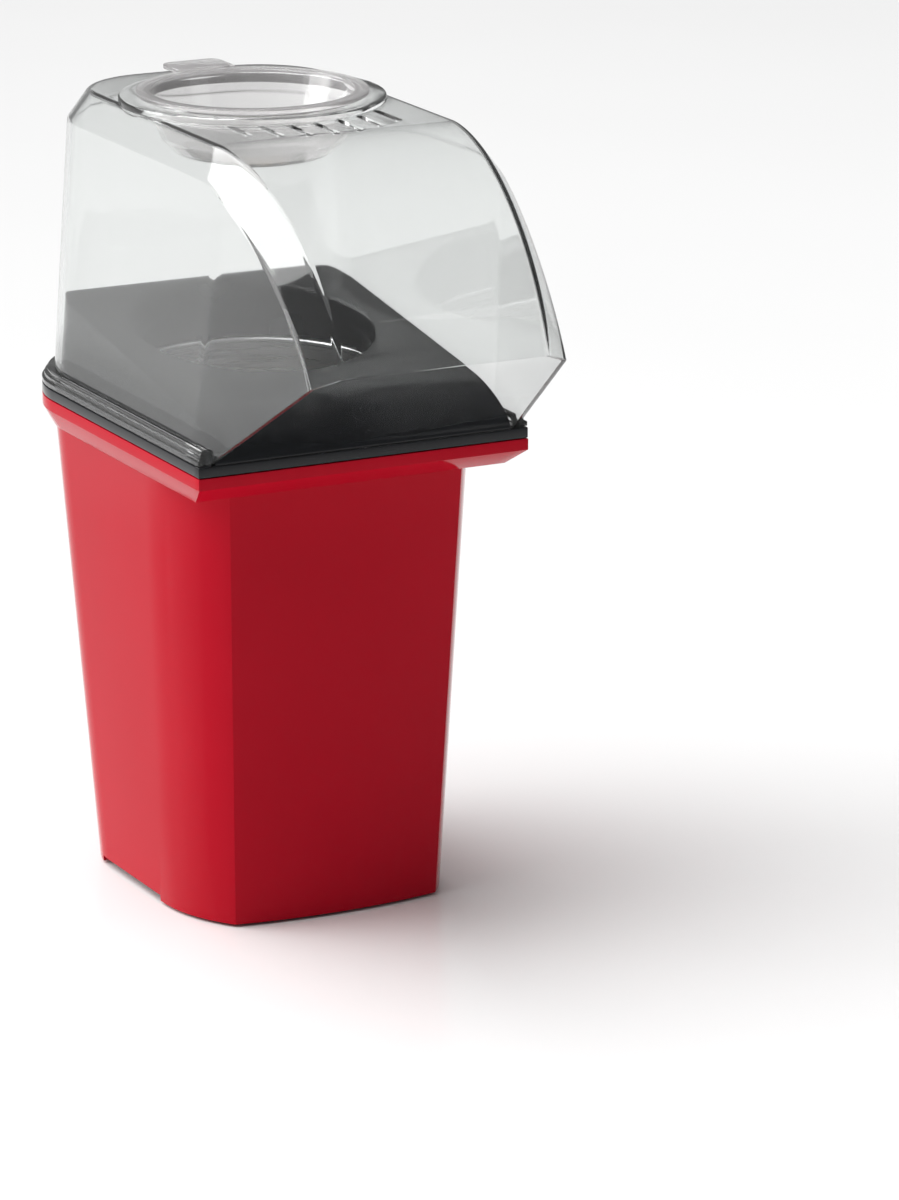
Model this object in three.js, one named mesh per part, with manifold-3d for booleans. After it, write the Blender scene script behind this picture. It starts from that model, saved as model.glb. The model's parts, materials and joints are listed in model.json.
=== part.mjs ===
// A hot-air popcorn maker: a red tapered housing, a black deck, a clear cover with a spout,
// a clear measuring cup in the ring on top, and the fan, heater and popping chamber inside.
// Millimetres, +Z up. The origin is under the middle of the whole object, on the floor.
// X runs across the object and the spout points to -Y.
import * as THREE from 'three';
import { mergeVertices } from 'three/addons/utils/BufferGeometryUtils.js';
import Module from 'manifold-3d';

const wasm = await Module();
wasm.setup();

// ---------- Driving dimensions ----------
const GAP = 0.3; // between pieces that touch
const HALF = 70; // half width of the collar, the widest part
const FRONT = -58.5; // front edge of the collar
const BACK = 126.5; // back of the collar
const LIP = -126.5; // tip of the spout
const AXIS_Y = 40.2; // the cup, chamber, heater, fan and motor share this upright axis
const RIM_Z = 190; // top of the housing
const COLLAR_Z = 194.6; // top of the black band round the deck
const COVER_TOP = 312.5; // flat top of the cover
const WALL = 2.4; // moulded walls
const CLEAR_WALL = 2; // walls of the cover
const FOOT = 1; // the housing's corners stand this high
const CHAMBER_RIM = 206; // top of the popping chamber
const CHAMBER_DEPTH = 80;
const CHAMBER_RADIUS = 46;
const DUCT_RADIUS = 54;
const FAN_DECK = 70.3; // underside of the plate that carries the motor
const SCREW_HOLE = 2; // radius of the holes for the self-tapping screws

const group = new THREE.Group();

// ---------- Helpers ----------
function solidFrom(geometry) {
  const bare = geometry.index ? geometry.toNonIndexed() : geometry.clone();
  bare.deleteAttribute('normal');
  bare.deleteAttribute('uv');
  const merged = mergeVertices(bare, 1e-4);
  const vertProperties = new Float32Array(merged.attributes.position.array);
  const triVerts = new Uint32Array(merged.index.array);
  return new wasm.Manifold(new wasm.Mesh({ numProp: 3, vertProperties, triVerts }));
}

function geometryFrom(solid) {
  const mesh = solid.getMesh();
  const geometry = new THREE.BufferGeometry();
  geometry.setAttribute('position', new THREE.BufferAttribute(mesh.vertProperties, 3));
  geometry.setIndex(new THREE.BufferAttribute(mesh.triVerts, 1));
  geometry.computeVertexNormals();
  return geometry;
}

const join = (first, ...others) => others.reduce((sum, other) => sum.add(other), first);
const cut = (first, ...others) => others.reduce((rest, other) => rest.subtract(other), first);

function block(low, high) {
  const size = high.map((value, i) => value - low[i]);
  const middle = high.map((value, i) => (value + low[i]) / 2);
  return solidFrom(new THREE.BoxGeometry(...size).translate(...middle));
}

function disc(radius, bottom, top, x = 0, y = 0, segments = 20) {
  const geometry = new THREE.CylinderGeometry(radius, radius, top - bottom, segments);
  return solidFrom(geometry.rotateX(Math.PI / 2).translate(x, y, (top + bottom) / 2));
}

// A turned solid about an upright axis. The profile is [radius, height] pairs.
function turned(profile, x = 0, y = 0, segments = 40) {
  const points = profile.map(([radius, height]) => new THREE.Vector2(radius, height));
  if (THREE.ShapeUtils.area(points) < 0) points.reverse();
  const geometry = new THREE.LatheGeometry(points, segments);
  return solidFrom(geometry.rotateX(Math.PI / 2).translate(x, y, 0));
}

// A closed skin over rings of equal length. Seen from the last ring the points run anticlockwise,
// and every ring is convex, so each end is closed by a fan.
function skin(rings) {
  const count = rings[0].length;
  const last = (rings.length - 1) * count;
  const index = [];
  for (let ring = 0; ring < rings.length - 1; ring += 1) {
    for (let i = 0; i < count; i += 1) {
      const a = ring * count + i;
      const b = ring * count + ((i + 1) % count);
      index.push(a, b, b + count, a, b + count, a + count);
    }
  }
  for (let i = 1; i < count - 1; i += 1) {
    index.push(0, i + 1, i, last, last + i, last + i + 1);
  }
  const geometry = new THREE.BufferGeometry();
  const flat = rings.flat().flatMap((point) => [point.x, point.y, point.z]);
  geometry.setAttribute('position', new THREE.Float32BufferAttribute(flat, 3));
  geometry.setIndex(index);
  return solidFrom(geometry);
}

// A solid with a horizontal outline at each height.
function tower(levels) {
  return skin(levels.map(([height, outline]) => outline.map(([x, y]) => new THREE.Vector3(x, y, height))));
}

// A solid swept along X from an outline of [y, z] pairs.
function sweptAcross(outline, half) {
  const shape = new THREE.Shape(outline.map(([y, z]) => new THREE.Vector2(y, z)));
  const geometry = new THREE.ExtrudeGeometry(shape, { depth: 2 * half, bevelEnabled: false });
  geometry.rotateY(Math.PI / 2).rotateX(Math.PI / 2).translate(-half, 0, 0);
  return solidFrom(geometry);
}

function arc(x, y, radius, from, to, steps) {
  return Array.from({ length: steps + 1 }, (_, i) => {
    const angle = THREE.MathUtils.degToRad(from + ((to - from) * i) / steps);
    return [x + radius * Math.cos(angle), y + radius * Math.sin(angle)];
  });
}

// Height over the centre of a superellipse at a share (0 to 1) of its half length.
const superArc = (share, exponent) => (1 - Math.min(1, share) ** exponent) ** (1 / exponent);

function colour(hex, roughness, metalness = 0, opacity = 1) {
  const look = { color: hex, roughness, metalness, opacity, transparent: opacity < 1 };
  return new THREE.MeshStandardMaterial(look);
}

function add(name, solid, material) {
  const mesh = new THREE.Mesh(geometryFrom(solid), material);
  mesh.name = name;
  group.add(mesh);
  return mesh;
}

const materials = {
  red: () => colour(0xc01830, 0.2),
  black: () => colour(0x14151a, 0.22),
  clear: () => colour(0xe8efec, 0.08, 0, 0.35),
  darkPlastic: () => colour(0x22242a, 0.5),
  aluminium: () => colour(0xb9bcc0, 0.4, 0.9),
  steel: () => colour(0x9da1a6, 0.35, 0.9),
  mica: () => colour(0xb9a478, 0.5),
  nichrome: () => colour(0x6d6862, 0.45, 0.8),
  rubber: () => colour(0x1b1b1b, 0.85),
  board: () => colour(0x2f6b3c, 0.6),
  cream: () => colour(0xe6dfcf, 0.55),
};

// ---------- Outlines ----------
// The collar's outline: square front corners, straight sides and rounded back corners.
function collarOutline(half, front, back, backRadius) {
  const steps = 9;
  return [
    [-half, front],
    [half, front],
    ...arc(half - backRadius, back - backRadius, backRadius, 0, 90, steps),
    ...arc(-half + backRadius, back - backRadius, backRadius, 90, 180, steps),
  ];
}

// The tapered body's outline: a gently bowed front between two creases, a wide curve from each
// crease to the side wall, and rounded back corners.
const CREASE_ANGLE = 40.5;
const FRONT_BOW = 4.2;
function bodyOutline({ half, curve, curveY, back, backRadius }) {
  const centreX = half - curve;
  const crease = arc(centreX, curveY, curve, -CREASE_ANGLE, 0, 7);
  const [creaseX, creaseY] = crease[0];
  const bow = Array.from({ length: 7 }, (_, i) => {
    const x = creaseX * ((i + 1) / 4 - 1);
    return [x, creaseY - FRONT_BOW * (1 - (x / creaseX) ** 2)];
  });
  return [
    ...bow,
    ...crease,
    ...arc(half - backRadius, back - backRadius, backRadius, 0, 90, 8),
    ...arc(-half + backRadius, back - backRadius, backRadius, 90, 180, 8),
    ...crease.map(([x, y]) => [-x, y]).reverse(),
  ];
}

const BODY_TOP = { half: 65.7, curve: 67, curveY: 1.5, back: 119.5, backRadius: 42 };
const BODY_FOOT = { half: 57.6, curve: 58, curveY: 7.1, back: 99.5, backRadius: 40 };
const FLARE_Z = 178; // where the flared rim meets the body

// The body's outline at a height, drawn in by a wall's thickness.
function bodyAt(height, inset = 0) {
  const share = height / FLARE_Z;
  const mix = (key) => BODY_FOOT[key] + (BODY_TOP[key] - BODY_FOOT[key]) * share;
  return {
    half: mix('half') - inset,
    curve: mix('curve') - inset,
    curveY: mix('curveY'),
    back: mix('back') - inset,
    backRadius: mix('backRadius') - inset,
  };
}

// ---------- Housing ----------
const BASE_SCREWS = [[46, 3.5], [-46, 3.5], [46, 63.5], [-46, 63.5]];
const DECK_SCREWS = [[55, -8], [-55, -8], [55.5, 76], [-55.5, 76]];
const BACK_TILT = Math.atan2(BODY_TOP.back - BODY_FOOT.back, FLARE_Z);
const backWallY = (height) => bodyAt(height).back;
const POST = { radius: 4.5, low: 8, high: 38 };
const LUG = { low: 166, high: 169 };
const SWITCH = { x: 0, z: 52 };
const GLAND = { x: 0, z: 22, radius: 7 };

// Turns a piece drawn round the origin, facing +Y, to lie on the sloping back wall.
function onBackWall(solid, { x, z }) {
  const degrees = THREE.MathUtils.radToDeg(BACK_TILT);
  return solid.rotate([-degrees, 0, 0]).translate([x, backWallY(z), z]);
}

function housing() {
  const outside = tower([
    [FOOT, bodyOutline(bodyAt(FOOT))],
    [FLARE_Z + 1, bodyOutline(bodyAt(FLARE_Z + 1))],
  ]);
  const rim = tower([
    [FLARE_Z, collarOutline(HALF - 4, FRONT + 12, BACK - 5, 42)],
    [RIM_Z - 4.4, collarOutline(HALF, FRONT, BACK, 46)],
    [RIM_Z, collarOutline(HALF, FRONT, BACK, 46)],
  ]);
  const hollow = tower([
    [-1, bodyOutline(bodyAt(-1, WALL))],
    [FLARE_Z + 2, bodyOutline(bodyAt(FLARE_Z + 2, WALL))],
  ]);
  const rimHollow = tower([
    [FLARE_Z + 1.5, collarOutline(HALF - 7, FRONT + 17, BACK - 8, 39)],
    [RIM_Z + 1, collarOutline(HALF - 4, FRONT + 4, BACK - 4, 42)],
  ]);
  const walls = cut(join(outside, rim), hollow, rimHollow);
  const posts = BASE_SCREWS.map(([x, y]) => {
    const side = Math.sign(x);
    const rib = block([Math.min(x, side * 60), y - 1, POST.low], [Math.max(x, side * 60), y + 1, POST.high]);
    return join(disc(POST.radius, POST.low, POST.high, x, y), rib);
  });
  const lugs = DECK_SCREWS.map(([x, y]) => {
    const side = Math.sign(x);
    const inside = x - side * 5;
    const wall = side * 66;
    return block([Math.min(inside, wall), y - 6, LUG.low], [Math.max(inside, wall), y + 6, LUG.high]);
  });
  const inner = join(...posts, ...lugs).intersect(outside);
  const drills = [
    ...BASE_SCREWS.map(([x, y]) => disc(SCREW_HOLE, 0, 24, x, y, 12)),
    ...DECK_SCREWS.map(([x, y]) => disc(SCREW_HOLE, LUG.low - 6, LUG.high + 3, x, y, 12)),
  ];
  // The bottom edge stands on its four corners: it is raised between them.
  const reliefs = [
    block([-80, 9.5, -1], [80, 66, FOOT + 2.3]),
    block([-26, 70, -1], [26, 130, FOOT + 2.3]),
  ];
  const switchHole = onBackWall(block([-6.7, -8, -10.2], [6.7, 8, 10.2]), SWITCH);
  const glandHole = onBackWall(solidAcross(GLAND.radius, -8, 8), GLAND);
  return cut(join(walls, inner), ...drills, ...reliefs, switchHole, glandHole);
}

// A round bar along Y.
function solidAcross(radius, from, to, segments = 24) {
  const geometry = new THREE.CylinderGeometry(radius, radius, to - from, segments);
  return solidFrom(geometry.translate(0, (to + from) / 2, 0));
}

add('housing', housing(), materials.red());

// ---------- Deck ----------
// The deck's upper surface rises in a rounded front, then slopes up to the back.
const DECK_FRONT = FRONT + 0.7;
const DECK_BROW = FRONT + 30; // where the rounded front ends
const DECK_BACK = 117.5;
const DECK_SLOPE = 0.16;
const DECK_DROP = 11.3;
const DECK_ROLL = { long: 26, deep: 22 }; // the back edge rolls down over this length and depth
const DECK_HALF = 62.8;
const DRAFT = 0.067; // how far the cover's and deck's sides lean in for each mm of height
const BROW_RISE = 21; // height of the brow over the housing's rim
const slopeZ = (y) => RIM_Z + BROW_RISE + DECK_SLOPE * (y - DECK_BROW);

function deckProfile(inset) {
  const front = DECK_FRONT + inset;
  const back = DECK_BACK - inset;
  const brow = Array.from({ length: 11 }, (_, i) => {
    const share = Math.cos((i / 10) * (Math.PI / 2));
    const y = DECK_BROW - (DECK_BROW - front) * share;
    return [y, slopeZ(y) - inset - DECK_DROP * (1 - superArc(share, 1.8))];
  });
  const rollTop = slopeZ(back - DECK_ROLL.long) - inset;
  const roll = Array.from({ length: 8 }, (_, i) => {
    const angle = (i / 7) * (Math.PI / 2);
    return [back - DECK_ROLL.long * (1 - Math.sin(angle)), rollTop - DECK_ROLL.deep * (1 - Math.cos(angle))];
  });
  return [[front, RIM_Z + GAP], ...brow, ...roll, [back, RIM_Z + GAP]];
}

function deckBlock(inset, bottom) {
  const profile = deckProfile(inset).map(([y, z]) => [y, Math.max(z, bottom)]);
  profile[0][1] = bottom;
  profile[profile.length - 1][1] = bottom;
  const half = (height) => DECK_HALF - inset - DRAFT * (height - COLLAR_Z);
  const plan = (height) => collarOutline(half(height), FRONT - 1, DECK_BACK - inset, 39 - inset);
  const top = 240;
  return sweptAcross(profile, HALF).intersect(tower([[bottom, plan(bottom)], [top, plan(top)]]));
}

function topDeck() {
  const band = tower([
    [RIM_Z + GAP, collarOutline(HALF, FRONT, BACK, 46)],
    [COLLAR_Z, collarOutline(HALF, FRONT, BACK, 46)],
  ]);
  const bandHollow = tower([
    [RIM_Z - 1, collarOutline(DECK_HALF - WALL, DECK_FRONT + WALL, DECK_BACK - WALL, 37)],
    [COLLAR_Z + 0.01, collarOutline(DECK_HALF - WALL, DECK_FRONT + WALL, DECK_BACK - WALL, 37)],
  ]);
  const dome = deckBlock(0, RIM_Z + GAP);
  const shell = cut(join(band, dome), deckBlock(WALL, RIM_Z - 2), bandHollow);
  const throat = disc(CHAMBER_RADIUS + 3.4, CHAMBER_RIM + 0.6, 240, 0, AXIS_Y, 48).intersect(dome);
  const opening = disc(CHAMBER_RADIUS + 1, 180, 250, 0, AXIS_Y, 48);
  // Posts go down to the housing's lugs, each joined to the deck's side by a rib.
  const posts = DECK_SCREWS.map(([x, y]) => {
    const side = Math.sign(x);
    const post = disc(4, LUG.high + GAP, 200, x, y);
    const rib = block([Math.min(x, side * 61.5), y - 1, 190.3], [Math.max(x, side * 61.5), y + 1, 202]);
    return join(post, rib);
  });
  const filled = join(dome, band, skirt());
  const feet = DUCT_SCREWS.map(([x, y]) => disc(3.6, DUCT_FLANGE + GAP, 250, x, y).intersect(filled));
  const drills = [
    ...DECK_SCREWS.map(([x, y]) => disc(SCREW_HOLE, LUG.low, LUG.high + 15, x, y, 12)),
    ...DUCT_SCREWS.map(([x, y]) => disc(SCREW_HOLE, 180, DUCT_FLANGE + 5, x, y, 12)),
  ];
  return cut(join(cut(join(shell, throat), opening), ...posts, ...feet), ...drills);
}

// The space under the deck, inside its band.
function skirt() {
  return tower([
    [180, collarOutline(60, FRONT + 4, 114, 36)],
    [COLLAR_Z, collarOutline(60, FRONT + 4, 114, 36)],
  ]);
}

// ---------- Duct, chamber and heater ----------
const DUCT_FLANGE = CHAMBER_RIM - 1.3; // top of the duct's flange
const DUCT_FOOT = 80;
const EAR_RADIUS = 59; // the flange's ears stand at this distance from the axis
const DUCT_SCREWS = [30, 150, 270].map((degrees) => {
  const angle = THREE.MathUtils.degToRad(degrees);
  return [EAR_RADIUS * Math.cos(angle), AXIS_Y + EAR_RADIUS * Math.sin(angle)];
});
add('top_deck', topDeck(), materials.black());

const LOUVRE = { count: 20, width: 2, length: 12, lean: 28, height: 24 };

function popcornChamber() {
  const outer = CHAMBER_RADIUS + 0.9;
  const bottom = CHAMBER_RIM - CHAMBER_DEPTH;
  const can = turned([
    [0, bottom + 5], [16, bottom + 4], [30, bottom + 1], [38, bottom + 1], [43.5, bottom + 5],
    [CHAMBER_RADIUS, bottom + 14], [CHAMBER_RADIUS, CHAMBER_RIM], [51, CHAMBER_RIM],
    [51, CHAMBER_RIM - 1], [outer, CHAMBER_RIM - 1], [outer, bottom + 14], [44.2, bottom + 4.4],
    [38.4, bottom], [30, bottom], [16, bottom + 3], [0, bottom + 4],
  ], 0, AXIS_Y);
  // Slanted louvres round the foot turn the hot air into a swirl.
  const slots = Array.from({ length: LOUVRE.count }, (_, i) => {
    const slot = new THREE.BoxGeometry(6, LOUVRE.width, LOUVRE.length);
    slot.rotateX(THREE.MathUtils.degToRad(LOUVRE.lean));
    slot.translate(CHAMBER_RADIUS, 0, bottom + LOUVRE.height).rotateZ((2 * Math.PI * i) / LOUVRE.count);
    return solidFrom(slot.translate(0, AXIS_Y, 0));
  });
  return cut(can, ...slots);
}
add('popping_chamber', popcornChamber(), materials.aluminium());

function airDuct() {
  const inner = DUCT_RADIUS - 0.8;
  const wall = turned([
    [inner, DUCT_FOOT], [DUCT_RADIUS, DUCT_FOOT], [DUCT_RADIUS, DUCT_FLANGE - 1.2],
    [57, DUCT_FLANGE - 1.2], [57, DUCT_FLANGE], [inner - 3, DUCT_FLANGE], [inner - 3, DUCT_FLANGE - 1.2],
    [inner, DUCT_FLANGE - 1.2], [inner, DUCT_FOOT],
  ], 0, AXIS_Y);
  const drills = DUCT_SCREWS.map(([x, y]) => disc(SCREW_HOLE, DUCT_FLANGE - 5, DUCT_FLANGE + 5, x, y, 12));
  const ears = DUCT_SCREWS.map(([x, y]) => disc(4.4, DUCT_FLANGE - 1.2, DUCT_FLANGE, x, y));
  return cut(join(wall, ...ears), ...drills, ...rivetDrills());
}

const RIVET_Z = 84;
const RIVET_ANGLES = [90, 210, 330];
// A solid drawn along +X from the axis, turned to an angle round it.
function radial(solid, degrees) {
  return solid.rotate([0, 0, degrees]).translate([0, AXIS_Y, 0]);
}

function barOut(radius, from, to, height, segments = 12) {
  const geometry = new THREE.CylinderGeometry(radius, radius, to - from, segments);
  return solidFrom(geometry.rotateZ(Math.PI / 2).translate((from + to) / 2, 0, height));
}

function rivetDrills() {
  return RIVET_ANGLES.map((degrees) => radial(barOut(1.8, 50, 62, RIVET_Z), degrees));
}
add('air_duct', airDuct(), materials.steel());

// Two mica plates stand crossed under the chamber and carry the heater coil on notched edges.
const COIL = { radius: 40, wire: 0.9, pitch: 4.2, turns: 4, z: 101.5 };
const MICA = { half: 52.2, low: 94, high: 122, thick: 1 };

function micaPlate(slotLow, slotHigh, quarter) {
  const { half, low, high, thick } = MICA;
  const ears = block([-half, -thick / 2, low], [half, thick / 2, low + 4]);
  const blade = block([-COIL.radius - 1, -thick / 2, low], [COIL.radius + 1, thick / 2, high]);
  const slot = block([-0.8, -1, slotLow], [0.8, 1, slotHigh]);
  const notches = [];
  for (let turn = 0; turn <= COIL.turns; turn += 1) {
    for (const side of [0, 0.5]) {
      const z = COIL.z + COIL.pitch * (turn + side + quarter);
      const x = side ? -COIL.radius : COIL.radius;
      notches.push(block([x - 1.9, -1, z - 1.5], [x + 1.9, 1, z + 1.5]));
    }
  }
  return cut(join(ears, blade), slot, ...notches);
}

add('mica_plate_a', micaPlate(107.7, 130, 0).translate([0, AXIS_Y, 0]), materials.mica());
add(
  'mica_plate_b',
  micaPlate(90, 108.3, 0.25).rotate([0, 0, 90]).translate([0, AXIS_Y, 0]),
  materials.mica(),
);

class CoilCurve extends THREE.Curve {
  getPoint(share, target = new THREE.Vector3()) {
    const angle = 2 * Math.PI * (COIL.turns * share);
    const height = COIL.z + COIL.pitch * COIL.turns * share;
    return target.set(COIL.radius * Math.cos(angle), COIL.radius * Math.sin(angle), height);
  }
}

function heaterCoil() {
  const section = new THREE.Shape(arc(0, 0, COIL.wire, 0, 300, 5).map(([x, y]) => new THREE.Vector2(x, y)));
  const path = new CoilCurve();
  const steps = COIL.turns * 20;
  const geometry = new THREE.ExtrudeGeometry(section, { steps, extrudePath: path, bevelEnabled: false });
  return solidFrom(geometry.translate(0, AXIS_Y, 0));
}
add('heater_coil', heaterCoil(), materials.nichrome());

const THERMOSTAT_Z = 150;

function thermostat() {
  const z = THERMOSTAT_Z;
  const body = barOut(8, DUCT_RADIUS + GAP, DUCT_RADIUS + 6, z, 24);
  const lid = barOut(5, DUCT_RADIUS + 6, DUCT_RADIUS + 9, z, 24);
  const tabs = block([DUCT_RADIUS + 4, -12, z - 1.5], [DUCT_RADIUS + 5, 12, z + 1.5]);
  return radial(join(body, lid, tabs), 90);
}
add('thermostat', thermostat(), materials.darkPlastic());

function thermalFuse() {
  const sleeve = disc(2.6, 138, 156, DUCT_RADIUS + 3, 0, 16);
  const leads = disc(0.8, 128, 166, DUCT_RADIUS + 3, 0, 12);
  return radial(join(sleeve, leads), 60);
}
add('thermal_fuse', thermalFuse(), materials.cream());

// ---------- Fan, motor and their housing ----------
const MOTOR = { radius: 17, low: 28, high: 68 };
const MOTOR_SCREWS = [[10, 0], [-10, 0]];
const ARM_TOP = FAN_DECK + 2.5; // top of the arms that carry the motor

function fanHousing() {
  const cup = turned([
    [41, FAN_DECK], [57.2, FAN_DECK], [57.2, 90], [DUCT_RADIUS + GAP, 90], [DUCT_RADIUS + GAP, 79.6],
    [51, 79.6], [51, 73.2], [41, 73.2], [41, FAN_DECK],
  ], 0, AXIS_Y);
  const hub = disc(16, FAN_DECK, ARM_TOP, 0, AXIS_Y, 32);
  const arm = block([10, -4, FAN_DECK], [43, 4, ARM_TOP]);
  const arms = [45, 135, 225, 315].map((degrees) => radial(arm, degrees));
  const drills = MOTOR_SCREWS.map(([x, y]) => disc(SCREW_HOLE, 60, 80, x, y + AXIS_Y, 12));
  return cut(join(cup, hub, ...arms), disc(6, 60, 80, 0, AXIS_Y), ...drills, ...rivetDrills());
}
add('fan_housing', fanHousing(), materials.darkPlastic());

function fanImpeller() {
  const hub = turned([[1.8, 77], [11, 77], [11, 90], [7, 92], [1.8, 92], [1.8, 77]], 0, AXIS_Y, 32);
  const blades = Array.from({ length: 8 }, (_, i) => {
    const blade = new THREE.BoxGeometry(29, 1.4, 12).rotateX(THREE.MathUtils.degToRad(35));
    return radial(solidFrom(blade.translate(23, 0, 84)), i * 45);
  });
  const ring = turned([[36.5, 79.5], [38, 79.5], [38, 88.5], [36.5, 88.5], [36.5, 79.5]], 0, AXIS_Y);
  return join(hub, ring, ...blades);
}
add('fan_impeller', fanImpeller(), materials.darkPlastic());
add('motor_shaft', disc(1.5, MOTOR.low + 2, 91, 0, AXIS_Y, 16), materials.steel());

function motorCan() {
  const { radius, low, high } = MOTOR;
  const can = turned([
    [1.8, low + 4], [radius, low + 4], [radius, high], [radius - 1, high + 1], [5, high + 1],
    [5, high + 1.9], [1.8, high + 1.9], [1.8, low + 4],
  ], 0, AXIS_Y, 32);
  const drills = MOTOR_SCREWS.map(([x, y]) => disc(SCREW_HOLE, 56, 80, x, y + AXIS_Y, 12));
  return cut(can, ...drills);
}
add('motor_can', motorCan(), materials.steel());

function motorCap() {
  const { radius, low } = MOTOR;
  const cap = turned([
    [0, low - 3], [4, low - 3], [4, low], [radius - 0.4, low], [radius - 0.4, low + 3.7], [4, low + 3.7],
    [4, low + 1.6], [0, low + 1.6],
  ], 0, AXIS_Y, 32);
  const tab = block([-1.5, AXIS_Y - 0.4, low - 6], [1.5, AXIS_Y + 0.4, low + 1]);
  const tabs = [-11, 11].map((x) => tab.translate([x, 0, 0]));
  return join(cap, ...tabs);
}
add('motor_end_cap', motorCap(), materials.cream());

// ---------- Screws ----------
// A pan-head screw with a cross slot, drawn with its head's underside at z = 0 and pointing up.
function screw(length, shank = 1.7, head = 3.6) {
  const body = turned([
    [0, -2.1], [head * 0.55, -1.9], [head, -1], [head, 0], [shank, 0], [shank, length - 2], [0.4, length],
    [0, length],
  ], 0, 0, 10);
  const cross = [
    block([-2, -0.4, -3], [2, 0.4, -1.2]),
    block([-0.4, -2, -3], [0.4, 2, -1.2]),
  ];
  return cut(body, ...cross);
}

function addScrews(name, places, underHead, length, pointsDown = false) {
  places.forEach(([x, y], i) => {
    const turn = pointsDown ? [180, 0, 0] : [0, 0, 0];
    add(`${name}_${i + 1}`, screw(length).rotate(turn).translate([x, y, underHead]), materials.steel());
  });
}

const motorPlaces = MOTOR_SCREWS.map(([x, y]) => [x, y + AXIS_Y]);
addScrews('motor_screw', motorPlaces, ARM_TOP + GAP, 14, true);
addScrews('duct_screw', DUCT_SCREWS, DUCT_FLANGE - 1.2 - GAP, 6);
addScrews('deck_screw', DECK_SCREWS, LUG.low - GAP, 14);

RIVET_ANGLES.forEach((degrees, i) => {
  const pin = barOut(1.5, 51.5, 57.8, RIVET_Z);
  const head = barOut(3, 57.5, 58.6, RIVET_Z);
  add(`duct_rivet_${i + 1}`, radial(join(pin, head), degrees), materials.steel());
});

// ---------- Base plate and feet ----------
const BASE = { low: 2.7, high: 5.3 };
const FEET = [[40, -14], [-40, -14], [38, 79], [-38, 79]];

function basePlate() {
  const inset = WALL + 0.5;
  const plate = tower([
    [BASE.low, bodyOutline(bodyAt(BASE.low, inset))],
    [BASE.high, bodyOutline(bodyAt(BASE.low, inset))],
  ]);
  const bosses = BASE_SCREWS.map(([x, y]) => disc(5, BASE.high - 1, 7.7, x, y));
  const vents = [];
  for (let column = -3; column <= 3; column += 1) {
    for (const row of [-1, 1]) {
      const x = column * 8.5;
      const y = AXIS_Y + row * 14.5;
      vents.push(block([x - 2, y - 11, 0], [x + 2, y + 11, 8]));
    }
  }
  const drills = BASE_SCREWS.map(([x, y]) => disc(SCREW_HOLE, 0, 12, x, y, 12));
  const recesses = BASE_SCREWS.map(([x, y]) => disc(4.2, 0, BASE.low + 2.4, x, y));
  return cut(join(plate, ...bosses), ...vents, ...drills, ...recesses);
}
add('base_plate', basePlate(), materials.darkPlastic());
addScrews('base_screw', BASE_SCREWS, BASE.low + 2.4 - GAP, 16);

FEET.forEach(([x, y], i) => {
  const foot = turned([[0, 0], [6, 0], [7, 1], [7, BASE.low - GAP], [0, BASE.low - GAP]], x, y, 24);
  add(`foot_${i + 1}`, foot, materials.rubber());
});

// ---------- Electrics ----------
function rectifierBoard() {
  const board = block([-16, -24, 14], [16, -4, 15.6]);
  const diodes = [-10.5, -3.5, 3.5, 10.5].map((x) => block([x - 1.6, -19, 15.4], [x + 1.6, -9, 19]));
  const corners = [[-13, -21], [13, -21], [-13, -7], [13, -7]];
  const legs = corners.map(([x, y]) => disc(2, BASE.high + GAP, 14.1, x, y, 12));
  return join(board, ...diodes, ...legs);
}
add('rectifier_board', rectifierBoard(), materials.board());

const TERMINALS = { middle: -24, spacing: 7, y: 76, top: 18 };

function terminalBlock() {
  const { middle, y, top } = TERMINALS;
  const body = block([middle - 12, y - 6, BASE.high + GAP], [middle + 12, y + 6, top]);
  const wells = [-1, 0, 1].map((i) => disc(2, top - 6, top + 2, middle + i * TERMINALS.spacing, y, 12));
  return cut(body, ...wells);
}
add('terminal_block', terminalBlock(), materials.cream());

// The bushing in the back wall that the mains lead passes through.
function cordGland() {
  const { radius } = GLAND;
  const barrel = solidAcross(radius - GAP, -6, 4);
  const flange = solidAcross(radius + 2.5, GAP, 2.6);
  return cut(join(barrel, flange), solidAcross(3.7, -12, 12));
}
add('cord_gland', onBackWall(cordGland(), GLAND), materials.rubber());

// The short insulated leads inside the housing, each along a smooth curve.
function lead(...points) {
  const path = new THREE.CatmullRomCurve3(points.map((point) => new THREE.Vector3(...point)));
  const section = new THREE.Shape(arc(0, 0, 1.1, 0, 300, 5).map(([x, y]) => new THREE.Vector2(x, y)));
  return solidFrom(new THREE.ExtrudeGeometry(section, { steps: 16, extrudePath: path, bevelEnabled: false }));
}
const THERMOSTAT_TAB = { x: 11, y: AXIS_Y + DUCT_RADIUS + 4.5, z: THERMOSTAT_Z - 3.2 };
const FUSE_FOOT = [28.5, AXIS_Y + 49.4, 127];

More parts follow.
